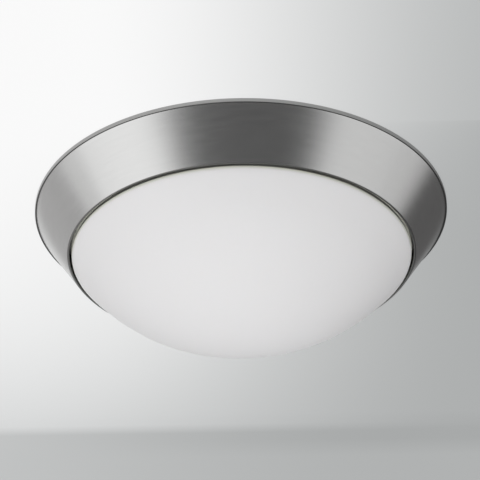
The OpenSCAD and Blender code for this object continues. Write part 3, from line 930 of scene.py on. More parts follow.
@dataclass(frozen=True)
class FrostedGlass(Finish):
    """The inside-frosted glass of a lamp, which looks white and has a smooth outside."""

    grain: float = 600.0
    tones: Pair = (0.97, 1.02)
    swing: Pair = (0.06, 0.06)

    def dress(self, graph: Graph) -> Inputs:
        """Soft light goes through the frost, and the outer face keeps a clear gloss."""
        cloud = self.grained(graph)["Cloud"]
        return {
            "Subsurface Weight": 0.08,
            "Subsurface Radius": (1.0, 0.98, 0.94),
            "Subsurface Scale": 0.0008,
            "Coat Weight": 0.6,
            "Coat Roughness": 0.05,
            "Base Color": self.toned(graph, cloud),
            "Roughness": self.swung(graph, cloud, *NOISE_SPAN),
        }


@dataclass(frozen=True)
class Glazed(Finish):
    """Porcelain under a clear glaze, or glass: small specks, a wavy gloss and thin glaze on edges."""

    grain: float = 300.0
    tones: Pair = (0.97, 1.02)
    relief: Pair = (0.0003, 0.25)
    body: Colour = (0.78, 0.74, 0.66)

    def dress(self, graph: Graph) -> Inputs:
        """The body's warmer colour shows through where the glaze is thin, and specks are sparse."""
        cloud = self.grained(graph)["Cloud"]
        wear = EFFECTS.mask(graph, Effect.WEAR, Amount=0.7, Scale=self.grain)
        specks = graph.span(graph.noise(graph.place(), 1500.0, 1.0), 0.76, 0.80)
        glaze = graph.blend(wear, self.toned(graph, cloud), self.body)
        return {
            "Coat Weight": 0.8,
            "Coat Roughness": 0.04,
            "Base Color": graph.blend(graph.times(specks, 0.5), glaze, self.body),
            "Normal": self.raised(graph, cloud),
        }


@dataclass(frozen=True)
class Moulded(Finish):
    """Moulded plastic with a fine spark-eroded texture."""

    grain: float = 1800.0
    tones: Pair = (0.93, 1.05)
    swing: Pair = (0.05, 0.1)
    relief: Pair = (0.00004, 0.4)
    dust: Colour = (0.6, 0.57, 0.52)

    def dress(self, graph: Graph) -> Inputs:
        """The texture roughens the gloss, ridges are rubbed paler, and dust settles on top."""
        grain = self.grained(graph)
        wear = EFFECTS.mask(graph, Effect.WEAR, Amount=0.4)
        dust = EFFECTS.mask(graph, Effect.SETTLED, Amount=0.15)
        pale = tuple(c + 0.25 * (1 - c) for c in self.colour)
        rubbed = graph.blend(wear, self.toned(graph, grain["Cloud"]), pale)
        return {
            "Base Color": graph.blend(dust, rubbed, self.dust),
            "Roughness": self.swung(graph, grain["Height"], *NOISE_SPAN),
            "Normal": self.raised(graph, grain["Height"]),
        }


@dataclass(frozen=True)
class Felt(Finish):
    """Glass-fibre felt, a mat of crossed fibres with loose tufts. Each layer has a turn and a scale."""

    relief: Pair = (0.0006, 0.6)
    shadow: Colour = (0.60, 0.52, 0.28)
    fibres: tuple[Pair, ...] = ((0.35, 1700.0), (1.4, 1500.0), (2.5, 1900.0))

    def dress(self, graph: Graph) -> Inputs:
        """Fibres are noise drawn out along three directions, laid over each other by their height."""
        where = graph.place()
        height: object = 0.0
        for turn, scale in self.fibres:
            drawn = {"Vector": where, "Rotation": (0.2, 0.3, turn), "Scale": (0.06, 1.0, 1.0)}
            crossed = graph.warped(graph.add("Mapping", drawn).outputs[0], 90.0, 0.004)
            height = graph.math("MAXIMUM", height, graph.noise(crossed, scale, 2.0))
        tufts = graph.noise(where, 130.0, 4.0, 0.6)
        mask = graph.span(graph.plus(height, graph.times(tufts, 0.35)), 0.55, 0.95)
        return {
            "Base Color": graph.blend(mask, self.shadow, self.colour),
            "Sheen Weight": 0.25,
            "Sheen Roughness": 0.5,
            "Normal": self.raised(graph, graph.plus(height, tufts)),
        }


@dataclass(frozen=True)
class Foil(Finish):
    """Bright aluminium foil in creases over the felt. Each size of crease has a scale and a share."""

    tones: Pair = (0.94, 1.03)
    swing: Pair = (0.05, 0.08)
    relief: Pair = (0.0007, 0.5)
    creases: tuple[Pair, ...] = ((90.0, 0.9), (260.0, 0.45))

    def dress(self, graph: Graph) -> Inputs:
        """Creases are the borders of two sizes of cells, over a softer noise."""
        where = graph.place()
        warp = graph.warped(where, 60.0, 0.01)
        height = graph.noise(where, 220.0, 4.0, 0.6)
        for scale, share in self.creases:
            cells = graph.add("TexVoronoi", {"Vector": warp, "Scale": scale}, feature="DISTANCE_TO_EDGE")
            height = graph.plus(height, graph.times(graph.span(cells.outputs[0], 0.0, 0.12), share))
        cloud = graph.noise(where, 35.0)
        return {
            "Base Color": self.toned(graph, cloud),
            "Roughness": self.swung(graph, cloud, *NOISE_SPAN),
            "Normal": self.raised(graph, height),
        }


@dataclass(frozen=True)
class Braid(Finish):
    """A braided sleeve of fine yarn over a wire."""

    grain: float = 3000.0
    tones: Pair = (0.45, 1.15)
    relief: Pair = (0.00015, 0.7)
    strands: float = 10.0
    pitch: float = 0.0075

    def dress(self, graph: Graph) -> Inputs:
        """Each strand is a rounded ridge, shaded in its gaps, with single yarns on it."""
        sleeve = graph.add("Attribute", attribute_name="sleeve").outputs["Vector"]
        given = {"Vector": sleeve, "Strands": self.strands, "Pitch": self.pitch}
        weave = EFFECTS.use(graph, Effect.SLEEVE, **given)["Height"]
        yarn = self.grained(graph)["Height"]
        tone = graph.times(weave, graph.span(yarn, *NOISE_SPAN, (0.8, 1.0)))
        return {
            "Base Color": self.toned(graph, tone),
            "Sheen Weight": 0.2,
            "Normal": self.raised(graph, graph.plus(weave, graph.times(yarn, 0.3))),
        }


NICKEL = BrushedNickel("brushed_nickel", (0.66, 0.66, 0.655), 0.235, 1.0)
# The hem, the bead and the crease are darker copies of the nickel: painted shade at the ceiling and the
# glass, and a painted shadow in the crease
SHADED_HEM = RolledEdge("brushed_nickel", (0.38, 0.38, 0.375), 0.3, 1.0)
SHADED_BEAD = RolledEdge("brushed_nickel", (0.26, 0.26, 0.255), 0.3, 1.0)
CREASE_SHADOW = RolledEdge("brushed_nickel", (0.13, 0.13, 0.128), 0.35, 1.0)
DULL = DullPlating(
    "brushed_nickel", (0.30, 0.30, 0.29), 0.5, 0.25, tint=(0.27, 0.27, 0.27), worn=(0.40, 0.40, 0.39))
OPAL = OpalGlass("opal_glass", (0.94, 0.93, 0.935), 0.42)
ENAMEL = Enamel("white_enamel", (0.86, 0.86, 0.84), 0.22)
ZINC = PlatedSteel("zinc_plate", (0.72, 0.72, 0.70), 0.30, 1.0)
GREEN = PlatedSteel(
    "green_screw", (0.07, 0.36, 0.14), 0.34, 0.85, tint=(0.05, 0.28, 0.12), worn=(0.55, 0.62, 0.52))
SPRING = PlatedSteel(
    "spring_steel", (0.40, 0.41, 0.43), 0.28, 1.0, tint=(0.33, 0.33, 0.38), worn=(0.66, 0.66, 0.66))
BULB = FrostedGlass("frosted_glass", (0.93, 0.93, 0.92), 0.3)
CAP = Stamped("lamp_cap", (0.82, 0.82, 0.81), 0.26, 1.0, tarnish=(0.52, 0.50, 0.46))
SOLDER = Stamped("lamp_base", (0.70, 0.70, 0.69), 0.35, 1.0, tarnish=(0.45, 0.44, 0.42))
DARK_GLASS = Glazed("lamp_base", (0.035, 0.03, 0.035), 0.2, body=(0.10, 0.08, 0.09))
PORCELAIN = Glazed("porcelain", (0.88, 0.87, 0.83), 0.28)
BRASS = Stamped("brass", (0.80, 0.60, 0.28), 0.28, 1.0)
COPPER = Stamped("bare_copper", (0.86, 0.47, 0.30), 0.26, 1.0, tarnish=(0.46, 0.22, 0.12))
FELT = Felt("glass_fibre", (0.86, 0.79, 0.50), 0.95)
FOIL = Foil("foil", (0.87, 0.87, 0.88), 0.24, 1.0)
NYLON = Moulded("nylon", (0.84, 0.83, 0.77), 0.42)
BLACK_BRAID = Braid("black_insulation", (0.035, 0.035, 0.037), 0.75)
WHITE_BRAID = Braid("white_insulation", (0.80, 0.79, 0.75), 0.75)
ORANGE = Moulded("connector_plastic", (0.84, 0.24, 0.035), 0.36)


# Pieces


def cleaned(mesh: bpy.types.Mesh, reach: float, level: float = 0.0) -> None:
    """Welds the doubles of a mesh, turns its faces outwards and shades them smooth.

    Args:
        mesh: The mesh.
        reach: How near two points are, in metres, when they are one.
        level: The angle in degrees up to which faces side by side become one, or 0 to leave them.
    """
    work = bmesh.new()
    work.from_mesh(mesh)
    bmesh.ops.remove_doubles(work, verts=work.verts, dist=reach)
    if level:
        bmesh.ops.dissolve_limit(work, angle_limit=math.radians(level), verts=work.verts, edges=work.edges)
    bmesh.ops.recalc_face_normals(work, faces=work.faces)
    work.to_mesh(mesh)
    work.free()
    mesh.polygons.foreach_set("use_smooth", np.ones(len(mesh.polygons), bool))


def mesh_of(name: str, patches: Sequence[Patch], sharp: float) -> bpy.types.Mesh:
    """Puts surfaces into one mesh, welds their seams and poles, and turns its faces outwards.

    Args:
        name: The mesh's name.
        patches: The surfaces, in millimetres.
        sharp: The angle in degrees past which an edge stays sharp.

    Returns:
        The mesh, in metres.
    """
    points = np.concatenate([p.points.reshape(-1, 3) for p in patches]) * MM
    starts = np.cumsum([0] + [p.points.shape[0] * p.points.shape[1] for p in patches])
    faces = [p.quads(s) for p, s in zip(patches, starts)]
    corners, marks = (np.concatenate(part) for part in zip(*faces))
    mesh = bpy.data.meshes.new(name)
    mesh.vertices.add(len(points))
    mesh.vertices.foreach_set("co", points.astype(np.float32).ravel())
    mesh.loops.add(corners.size)
    mesh.loops.foreach_set("vertex_index", corners.astype(np.int32).ravel())
    mesh.polygons.add(len(corners))
    mesh.polygons.foreach_set("loop_start", np.arange(0, corners.size, 4, dtype=np.int32))
    mesh.polygons.foreach_set("material_index", marks)
    if patches[0].sleeve is not None:
        values = np.concatenate([p.sleeve.reshape(-1, 3) for p in patches]).astype(np.float32)
        mesh.attributes.new("sleeve", "FLOAT_VECTOR", "POINT").data.foreach_set("vector", values.ravel())
    mesh.update(calc_edges=True)
    cleaned(mesh, 2e-7)
    mesh.set_sharp_from_angle(angle=math.radians(sharp))
    return mesh


def placed(name: str, data: bpy.types.ID) -> bpy.types.Object:
    """Makes an object of a mesh or a camera and puts it into the scene."""
    made = bpy.data.objects.new(name, data)
    bpy.context.scene.collection.objects.link(made)
    return made


@dataclass
class SubAssembly:
    """What every sub-assembly does with a piece that it has made."""

    body: str = "fixture"

    def show(
        self, piece: bpy.types.Object, finishes: Sequence[Finish], nodes: Sequence[str], body: str,
    ) -> None:
        """Gives a piece its finishes, its body and the nodes that it stands for.

        Args:
            piece: The object.
            finishes: Its finishes, in the order of its material slots.
            nodes: The nodes of the frame that it replaces.
            body: The body that it rides on, or nothing for the sub-assembly's own.
        """
        for finish in finishes:
            piece.data.materials.append(finish.material())
        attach(piece, body or self.body)
        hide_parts(*nodes)
        LOG.info("%s: %d faces for %s", piece.name, len(piece.data.polygons), ", ".join(nodes))

    def surface(
        self, name: str, patches: Sequence[Patch], finishes: Sequence[Finish], nodes: Sequence[str],
        body: str = "", sharp: float = 38.0,
    ) -> None:
        """Makes a piece of surfaces. Its arguments are those of show and mesh_of."""
        self.show(placed(name, mesh_of(name, patches, sharp)), finishes, nodes, body)

    def softened(self, name: str, node: str, finish: Finish, width: float) -> None:
        """Makes a merged copy of a node of the frame, with its sharp edges broken by a small bevel.

        Args:
            name: The piece's name.
            node: The node that it copies and replaces.
            finish: Its finish.
            width: The width of the bevel.
        """
        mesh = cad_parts[node].data.copy()
        mesh.name = name
        mesh.materials.clear()
        for shading in ("custom_normal", "sharp_edge"):
            if shading in mesh.attributes:
                mesh.attributes.remove(mesh.attributes[shading])
        cleaned(mesh, 1e-6, level=0.6)
        piece = placed(name, mesh)
        bevel = piece.modifiers.new("broken_edges", "BEVEL")
        bevel.width = width * MM
        bevel.segments = 2
        bevel.limit_method = "ANGLE"
        bevel.angle_limit = math.radians(38)
        bevel.use_clamp_overlap = False
        piece.modifiers.new("level_faces", "WEIGHTED_NORMAL").keep_sharp = True
        self.show(piece, [finish], [node], "")


def round_the_axis(count: int, start: float, radius: float, height: float, turn: float = 0.0) -> list[Place]:
    """Gives places at even steps round the axis, each turned by one more turn than the last.

    Args:
        count: How many places.
        start: The angle of the first, in degrees.
        radius: How far they are from the axis.
        height: Their height.
        turn: How much further each is turned, in degrees.

    Returns:
        The places.
    """
    angles = np.radians(start + 360 / count * np.arange(count))
    spots = [(radius * math.cos(angle), radius * math.sin(angle)) for angle in angles]
    return [Place().at(x, y, height, turn * number) for number, (x, y) in enumerate(spots)]


def eased(value: Field, start: float, length: float) -> Field:
    """Rises from 0 to 1 over a stretch, as 3 s^2 - 2 s^3 of the share s of the stretch."""
    share = np.clip((value - start) / length, 0, 1)
    return share**2 * (3 - 2 * share)


@dataclass
class TrimRing(SubAssembly):
    """The spun ring: a folded hem at the ceiling, the flared cone and a rolled lower edge."""

    flare_w: float = 34.7
    hem_h: float = 4.0
    hem_r: float = 0.45
    crease: Pair = (1.6, 0.12)
    crease_r: float = 0.1
    bead_r: float = 1.3
    sheet_t: float = 0.9
    edge_r: float = 0.3
    fold_r: float = 1.2
    flange_r: float = 0.6
    flange_w: float = 15.5
    margin: float = 0.05

    def outline(self, ring_r: float, ring_h: float) -> tuple[Field, Field]:
        """Gives the ring's section.

        The cone runs from the crease under the rolled hem to where it touches the bead, a circle of radius
        bead_r, whose arc goes round until it meets the inner face of the sheet.

        Args:
            ring_r: The outside radius at the ceiling.
            ring_h: The height of the ring.

        Returns:
            The closed outline, as radii and heights, and the finish of each stretch of it.
        """
        bead = np.array([ring_r - self.flare_w + self.bead_r, -(ring_h - self.bead_r)])
        shoulder = np.array([ring_r - self.crease[0], -self.hem_h + self.crease[1]])
        reach = shoulder - bead
        lean = math.atan2(reach[1], reach[0]) - math.acos(self.bead_r / np.linalg.norm(reach))
        left = math.degrees(math.acos((self.bead_r - self.sheet_t) / self.bead_r))
        roll = arc(bead, self.bead_r, math.degrees(lean), math.degrees(lean) + left - 360, 40)
        under = -3 * self.sheet_t
        out = np.array([math.cos(lean), math.sin(lean)])
        along = np.array([-out[1], out[0]])
        foot = shoulder - self.sheet_t * out
        inner_top = foot + along * (under - foot[1]) / along[1]
        hem_in = ring_r - 2 * self.sheet_t
        flange_in = hem_in - self.flange_w
        corners = [
            (ring_r, 0, self.edge_r), (ring_r, -self.hem_h, self.hem_r), (*shoulder, self.crease_r),
            *[(*point, 0.0) for point in roll],
            (*inner_top, self.fold_r), (flange_in, under, self.edge_r),
            (flange_in, under + self.sheet_t, self.edge_r), (hem_in, under + self.sheet_t, self.flange_r),
            (hem_in, 0, self.edge_r),
        ]
        profile = refined(rounded(corners, closed=True, steps=5), 4.0, closed=True)
        middle = (profile + np.roll(profile, -1, axis=0)) / 2
        r, h = middle[:, 0], middle[:, 1]
        near, level = self.margin, 2 * self.margin
        rolled = (np.linalg.norm(middle - bead, axis=1) < self.bead_r + near) & (h < bead[1] + level)
        hem = (r > shoulder[0] - near) & (h > -self.hem_h - near)
        slope = (shoulder[0] - bead[0] - self.bead_r) / (shoulder[1] - bead[1])
        inside = r < shoulder[0] + slope * (h - shoulder[1]) - 0.6
        creased = hem & (r < ring_r - 0.4) & (h < shoulder[1] + level)
        # The crease, the rolled bead and the hem take the darker finishes, which are painted shade
        return profile, np.select([creased, rolled, hem, inside], [4, 3, 1, 2], 0)

    def build(self) -> None:
        """Makes the ring."""
        low, high = node_box("trim_ring")
        profile, finish = self.outline(high[0], -low[2])
        ring = lathe(profile, turns=400, finish=finish)
        self.surface("trim_ring_spun", [ring], [NICKEL, SHADED_HEM, DULL, SHADED_BEAD, CREASE_SHADOW], ["trim_ring"], sharp=30)


@dataclass
class GlassBowl(SubAssembly):
    """The shallow bowl of cased glass with its straight neck and rounded lip."""

    body: str = "glass"
    glass_t: float = 4.0
    lip_w: float = 1.7
    rise: float = 88.0
    depth: float = 78.8
    neck_h: float = 7.5
    shoulder_r: float = 8.0
    swell: float = 1.1
    swell_starts: Pair = (-16.0, 14.0)
    swell_ends: Pair = (1.0, 2.0)

    def outline(self, lip_out: float, lowest: float) -> np.ndarray:
        """Gives the bowl's section.

        The outer face is part of the ellipse r = a cos t, z = middle - b sin t, a bend of radius shoulder_r
        and the straight neck. The shoulder swells towards the ring's edge and back again above it, over two
        stretches, each of which has a start above the neck's foot and a length. The lip is an arc about a
        point above the neck, and the inner face lies glass_t inside.

        Args:
            lip_out: The radius of the lip's outer edge.
            lowest: The height of the lowest point.

        Returns:
            The outline from the outer pole to the inner one, as radii and heights.
        """
        neck_r = lip_out - self.lip_w
        foot = lowest + self.depth
        b = self.depth + self.rise
        start = math.asin(self.rise / b)
        a = neck_r / math.cos(start)
        t = np.linspace(math.pi / 2, start, 130)
        bowl = np.stack([a * np.cos(t), foot + self.rise - b * np.sin(t)], -1)
        lip_r = (self.glass_t + self.lip_w) / 2
        lip = np.array([neck_r - self.glass_t + lip_r, foot + self.neck_h])
        cut = int(np.argmax(np.linalg.norm(bowl - bowl[-1], axis=1) < self.shoulder_r * 0.45))
        turn = bend(bowl[cut - 1], bowl[-1], np.array([neck_r, lip[1]]), self.shoulder_r, 14)
        dip = math.degrees(math.acos((neck_r - lip[0]) / lip_r))
        neck_top = lip[1] + lip_r * math.sin(math.radians(-dip))
        neck = refined(np.linspace(turn[-1], [neck_r, neck_top], 6)[1:-1], 0.4)
        outer = np.concatenate([bowl[:cut], turn, neck])
        height = outer[:, 1] - foot
        outer[:, 0] += self.swell * eased(height, *self.swell_starts) * (1 - eased(height, *self.swell_ends))
        inner = offset(np.concatenate([outer, [[neck_r, neck_top]]]), self.glass_t)[::-1]
        inner[:, 0] = np.clip(inner[:, 0], 0, neck_r - self.glass_t)
        inner[-1, 0] = 0
        return np.concatenate([outer, arc(lip, lip_r, -dip, 180, 24), inner[inner[:, 1] < lip[1] - 0.2]])

    def build(self) -> None:
        """Makes the bowl."""
        low, high = node_box("glass_bowl")
        bowl = lathe(self.outline(high[0], low[2]), turns=288, closed=False)
        self.surface("opal_bowl", [bowl], [OPAL], ["glass_bowl"], sharp=50)


@dataclass
class GlassClips(SubAssembly):
    """The three spring clips under the pan whose hooks hold the bowl by its lip."""

    count: int = 3
    start: float = -90.0
    rivet_r: float = 157.66
    rivet_turn: float = 40.0
    plate_top: float = -20.0
    grip: float = 1.5
    edge_w: float = 0.12

    def build(self) -> None:
        """Makes the clips and the rivets that hold them."""
        self.softened("spring_clips", "glass_clips", SPRING, self.edge_w)
        places = round_the_axis(self.count, self.start, self.rivet_r, self.plate_top, self.rivet_turn)
        self.surface("clip_rivets_set", [rivet(p, self.grip) for p in places], [ZINC], ["clip_rivets"])


@dataclass
class Pan(SubAssembly):
    """The enamelled pan with its pressed rib, and the rivets that join it to the ring's flange."""

    rivet_count: int = 6
    rivet_start: float = 30.0
    rivet_r: float = 193.65
    flange_top: float = -1.8
    sheet_t: float = 0.9
    edge_w: float = 0.2

    def build(self) -> None:
        """Makes the pan and its rivets."""
        self.softened("enamelled_pan", "pan", ENAMEL, self.edge_w)
        top = self.flange_top + self.sheet_t
        places = round_the_axis(self.rivet_count, self.rivet_start, self.rivet_r, top)
        self.surface("flange_rivets", [rivet(p, 2 * self.sheet_t) for p in places], [ZINC], ["ring_rivets"])


@dataclass
class Insulation(SubAssembly):
    """The felt ring on the pan, with its uneven tufts, and the creased foil that lies on it."""

    hole_r: float = 62.0
    tuft: float = 0.7
    tuft_size: float = 9.0
    rim_w: float = 3.0
    edge: float = 2.5
    crease: float = 0.55
    crease_size: float = 17.0

    def felt(self, low: np.ndarray, high: np.ndarray) -> Patch:
        """Makes the felt.

        Its section is a rectangle with round corners. Each point moves inwards by tuft times (lump + 1) / 2:
        towards the middle height on the faces, and towards the middle radius at both edges.

        Args:
            low: The lowest corner of the pad.
            high: Its highest corner.

        Returns:
            The surface.
        """
        inner, outer = self.hole_r, high[0]
        spots = [(inner, low[2]), (outer, low[2]), (outer, high[2]), (inner, high[2])]
        profile = rounded([(*spot, self.edge) for spot in spots], closed=True)
        middle = np.array([(inner + outer) / 2, (low[2] + high[2]) / 2])

        def tufted(angle: Field, r: Field, h: Field) -> tuple[Field, Field]:
            """Sinks the points between the tufts."""
            points = np.stack([r * np.cos(angle), r * np.sin(angle), h], -1)
            sunk = self.tuft * np.clip((lumps(points, self.tuft_size, 3) + 1) / 2, 0, 1)
            rim = np.clip((np.abs(r - middle[0]) - (outer - inner) / 2) / self.rim_w + 1, 0, 1)
            new_r = r - np.sign(r - middle[0]) * rim * sunk
            return new_r, h - np.sign(h - middle[1]) * (1 - 0.6 * rim) * sunk

        return lathe(refined(profile, 2.6, closed=True), turns=300, shape=tufted)

    def foil(self, low: np.ndarray, high: np.ndarray) -> Patch:
        """Makes the foil.

        Both faces rise by crease times a ridged sum: 1 - |lumps| at one size, and half as much at a third of
        it.

        Args:
            low: The lowest corner of the foil.
            high: Its highest corner.

        Returns:
            The surface.
        """
        outer = high[0]
        across = np.arange(self.hole_r, outer, 1.9)
        under = np.stack([across, 0 * across + low[2]], -1)
        over = np.stack([across[::-1], 0 * across + high[2]], -1)
        profile = np.concatenate([under, [[outer, low[2]], [outer, high[2]]], over])

        def creased(angle: Field, r: Field, h: Field) -> tuple[Field, Field]:
            """Raises the creases."""
            points = np.stack([r * np.cos(angle), r * np.sin(angle), 0 * h], -1)
            ridge = 1 - np.abs(lumps(points, self.crease_size, 11))
            fine = 1 - np.abs(lumps(points, self.crease_size / 3, 12))
            return r, h + self.crease * np.clip(ridge + 0.5 * fine, 0, 1.5) / 1.5

        return lathe(profile, turns=420, shape=creased)

    def build(self) -> None:
        """Makes the pad and the foil."""
        for name, node, make, finish in (
            ("felt_pad", "insulation_pad", self.felt, FELT),
            ("creased_foil", "insulation_foil", self.foil, FOIL),
        ):
            self.surface(name, [make(*node_box(node))], [finish], [node], sharp=60)


@dataclass
class CeilingBar(SubAssembly):
    """The slotted bar at the ceiling box, the screws that draw the pan up, and the earth screw."""

    edge_w: float = 0.25
    screw_x: float = 24.0
    screw_turns: Pair = (25.0, 118.0)
    screw_r: float = 2.03
    head_r: float = 4.0
    head_h: float = 2.6
    washer_r: float = 5.0
    washer_t: float = 0.8
    earth_x: float = -12.0
    earth_turn: float = 70.0
    earth_screw_r: float = 1.9
    earth_head_r: float = 4.2
    earth_head_h: float = 2.4
    seat_gap: float = 0.08
    thread_pitch: float = 0.794

    def build(self) -> None:
        """Makes the bar, its screws and its washers."""
        self.softened("slotted_bar", "crossbar", ZINC, self.edge_w)
        foot = node_box("mounting_washers")[0][2]
        seat = foot - self.seat_gap
        top = node_box("mounting_screws")[1][2]
        hole_r = self.screw_r + self.seat_gap
        screws, washers = [], []
        for x, turn in zip((self.screw_x, -self.screw_x), self.screw_turns):
            place = Place().at(x, 0, seat, turn)
            screws += screw(place, self.screw_r, top - seat, self.head_r, self.head_h, self.thread_pitch)
            washers.append(washer(Place((x, 0, foot)), hole_r, self.washer_r, self.washer_t))
        self.surface("pan_screws", screws, [ZINC], ["mounting_screws"], sharp=32)
        self.surface("pan_washers", washers, [ZINC], ["mounting_washers"])
        low, high = node_box("earth_screw")
        place = Place().at(self.earth_x, 0, low[2] + self.earth_head_h, self.earth_turn)
        length = high[2] - low[2] - self.earth_head_h
        earth = screw(
            place, self.earth_screw_r, length, self.earth_head_r, self.earth_head_h, self.thread_pitch)
        self.surface("bar_earth_screw", earth, [GREEN], ["earth_screw"], sharp=32)


# The backs of the two lampholders, which lie on opposite sides and point inwards along X
LAMP_BACK, LAMP_ASIDE, LAMP_HEIGHT = 76.0, 38.0, -56.9
HOLDERS = [
    Place((-way * LAMP_BACK, way * LAMP_ASIDE, LAMP_HEIGHT), (0.0, 0.0, -1.0), (way, 0.0, 0.0))
    for way in (1.0, -1.0)
]


@dataclass
class Lampholders(SubAssembly):
    """The two porcelain lampholders on bent brackets, with their shells, contacts, screws and rivets."""

    shell_out: float = 13.9
    shell_depth: float = 0.38
    shell_wall: float = 0.3
    shell_l: float = 27.0
    shell_hole: float = 6.0
    bore_floor: float = 10.0
    pitch: float = 3.63
    contact_r: float = 4.0
    contact_t: float = 1.2
    screw_x: float = 7.0
    screw_r: float = 1.5
    screw_l: float = 7.6
    screw_head_r: float = 2.8
    screw_head_h: float = 1.8
    screw_seat: float = -1.28
    screw_pitch: float = 0.6
    screw_turns: Pair = (35.0, 100.0)
    turn_step: float = 50.0
    rivets: Pair = (9.24, 18.04)
    bracket_t: float = 1.2
    bracket_edge: float = 0.15
    glaze_edge: float = 0.45
    plate_top: float = -20.0
    grip: float = 2.1

    def shell(self, place: Place) -> Patch:
        """Makes a shell: a cup with a hole in its floor and a rolled thread for the lamp.

        Args:
            place: The frame of its floor, whose Z runs to its mouth.

        Returns:
            The surface.
        """
        out, wall, top = self.shell_out, self.shell_wall, self.shell_l
        side = refined(np.array([[out, 0.8], [out, top]]), 0.25)
        inside = side[::-1] - [wall, 0]
        profile = np.concatenate([
            [[self.shell_hole, 0], [out - 1.2, 0], [out - 0.4, 0.25]], side, inside,
            [[out - 1.3, 0.45], [self.shell_hole, 0.45]],
        ])
        cut = thread(self.pitch, self.shell_depth, 1.2, top - 2.0)
        return lathe(profile, place, 96, shape=cut)

    def contact(self, place: Place) -> Patch:
        """Makes a centre contact: a round plate with a raised, dished button.

        Args:
            place: The frame of its foot, whose Z runs to the lamp.

        Returns:
            The surface.
        """
        r, t = self.contact_r, self.contact_t
        corners = [
            (0, 0, 0), (r, 0, 0.1), (r, 0.5 * t, 0.2), (0.8 * r, 0.6 * t, 0.2), (0.62 * r, t, 0.3),
            (0, 0.85 * t, 0),
        ]
        return lathe(rounded(corners, steps=4), place, 64, closed=False)

    def build(self) -> None:
        """Makes both lampholders and what carries them."""
        screws, rivets = [], []
        for number, place in enumerate(HOLDERS, 1):
            bracket = f"holder_bracket_{number}"
            self.softened(f"{bracket}_bent", bracket, ZINC, self.bracket_edge)
            self.softened(f"porcelain_body_{number}", f"lampholder_{number}", PORCELAIN, self.glaze_edge)
            inside = place.at(0, 0, self.bore_floor)
            shell, contact = [self.shell(inside)], [self.contact(inside)]
            self.surface(f"threaded_shell_{number}", shell, [BRASS], [f"screw_shell_{number}"])
            self.surface(f"contact_button_{number}", contact, [BRASS], [f"centre_contact_{number}"])
            for x, turn in zip((self.screw_x, -self.screw_x), self.screw_turns):
                seat = place.at(x, 0, self.screw_seat, turn + self.turn_step * number)
                screws += screw(
                    seat, self.screw_r, self.screw_l, self.screw_head_r, self.screw_head_h, self.screw_pitch)
            way = place.z[0]
            for reach in self.rivets:
                x = place.origin[0] - way * (self.bracket_t + reach)
                rivets.append(rivet(Place((x, place.origin[1], self.plate_top)), self.grip))
        self.surface("porcelain_screws", screws, [ZINC], ["holder_screws"], sharp=32)
        self.surface("bracket_rivets_set", rivets, [ZINC], ["bracket_rivets"])


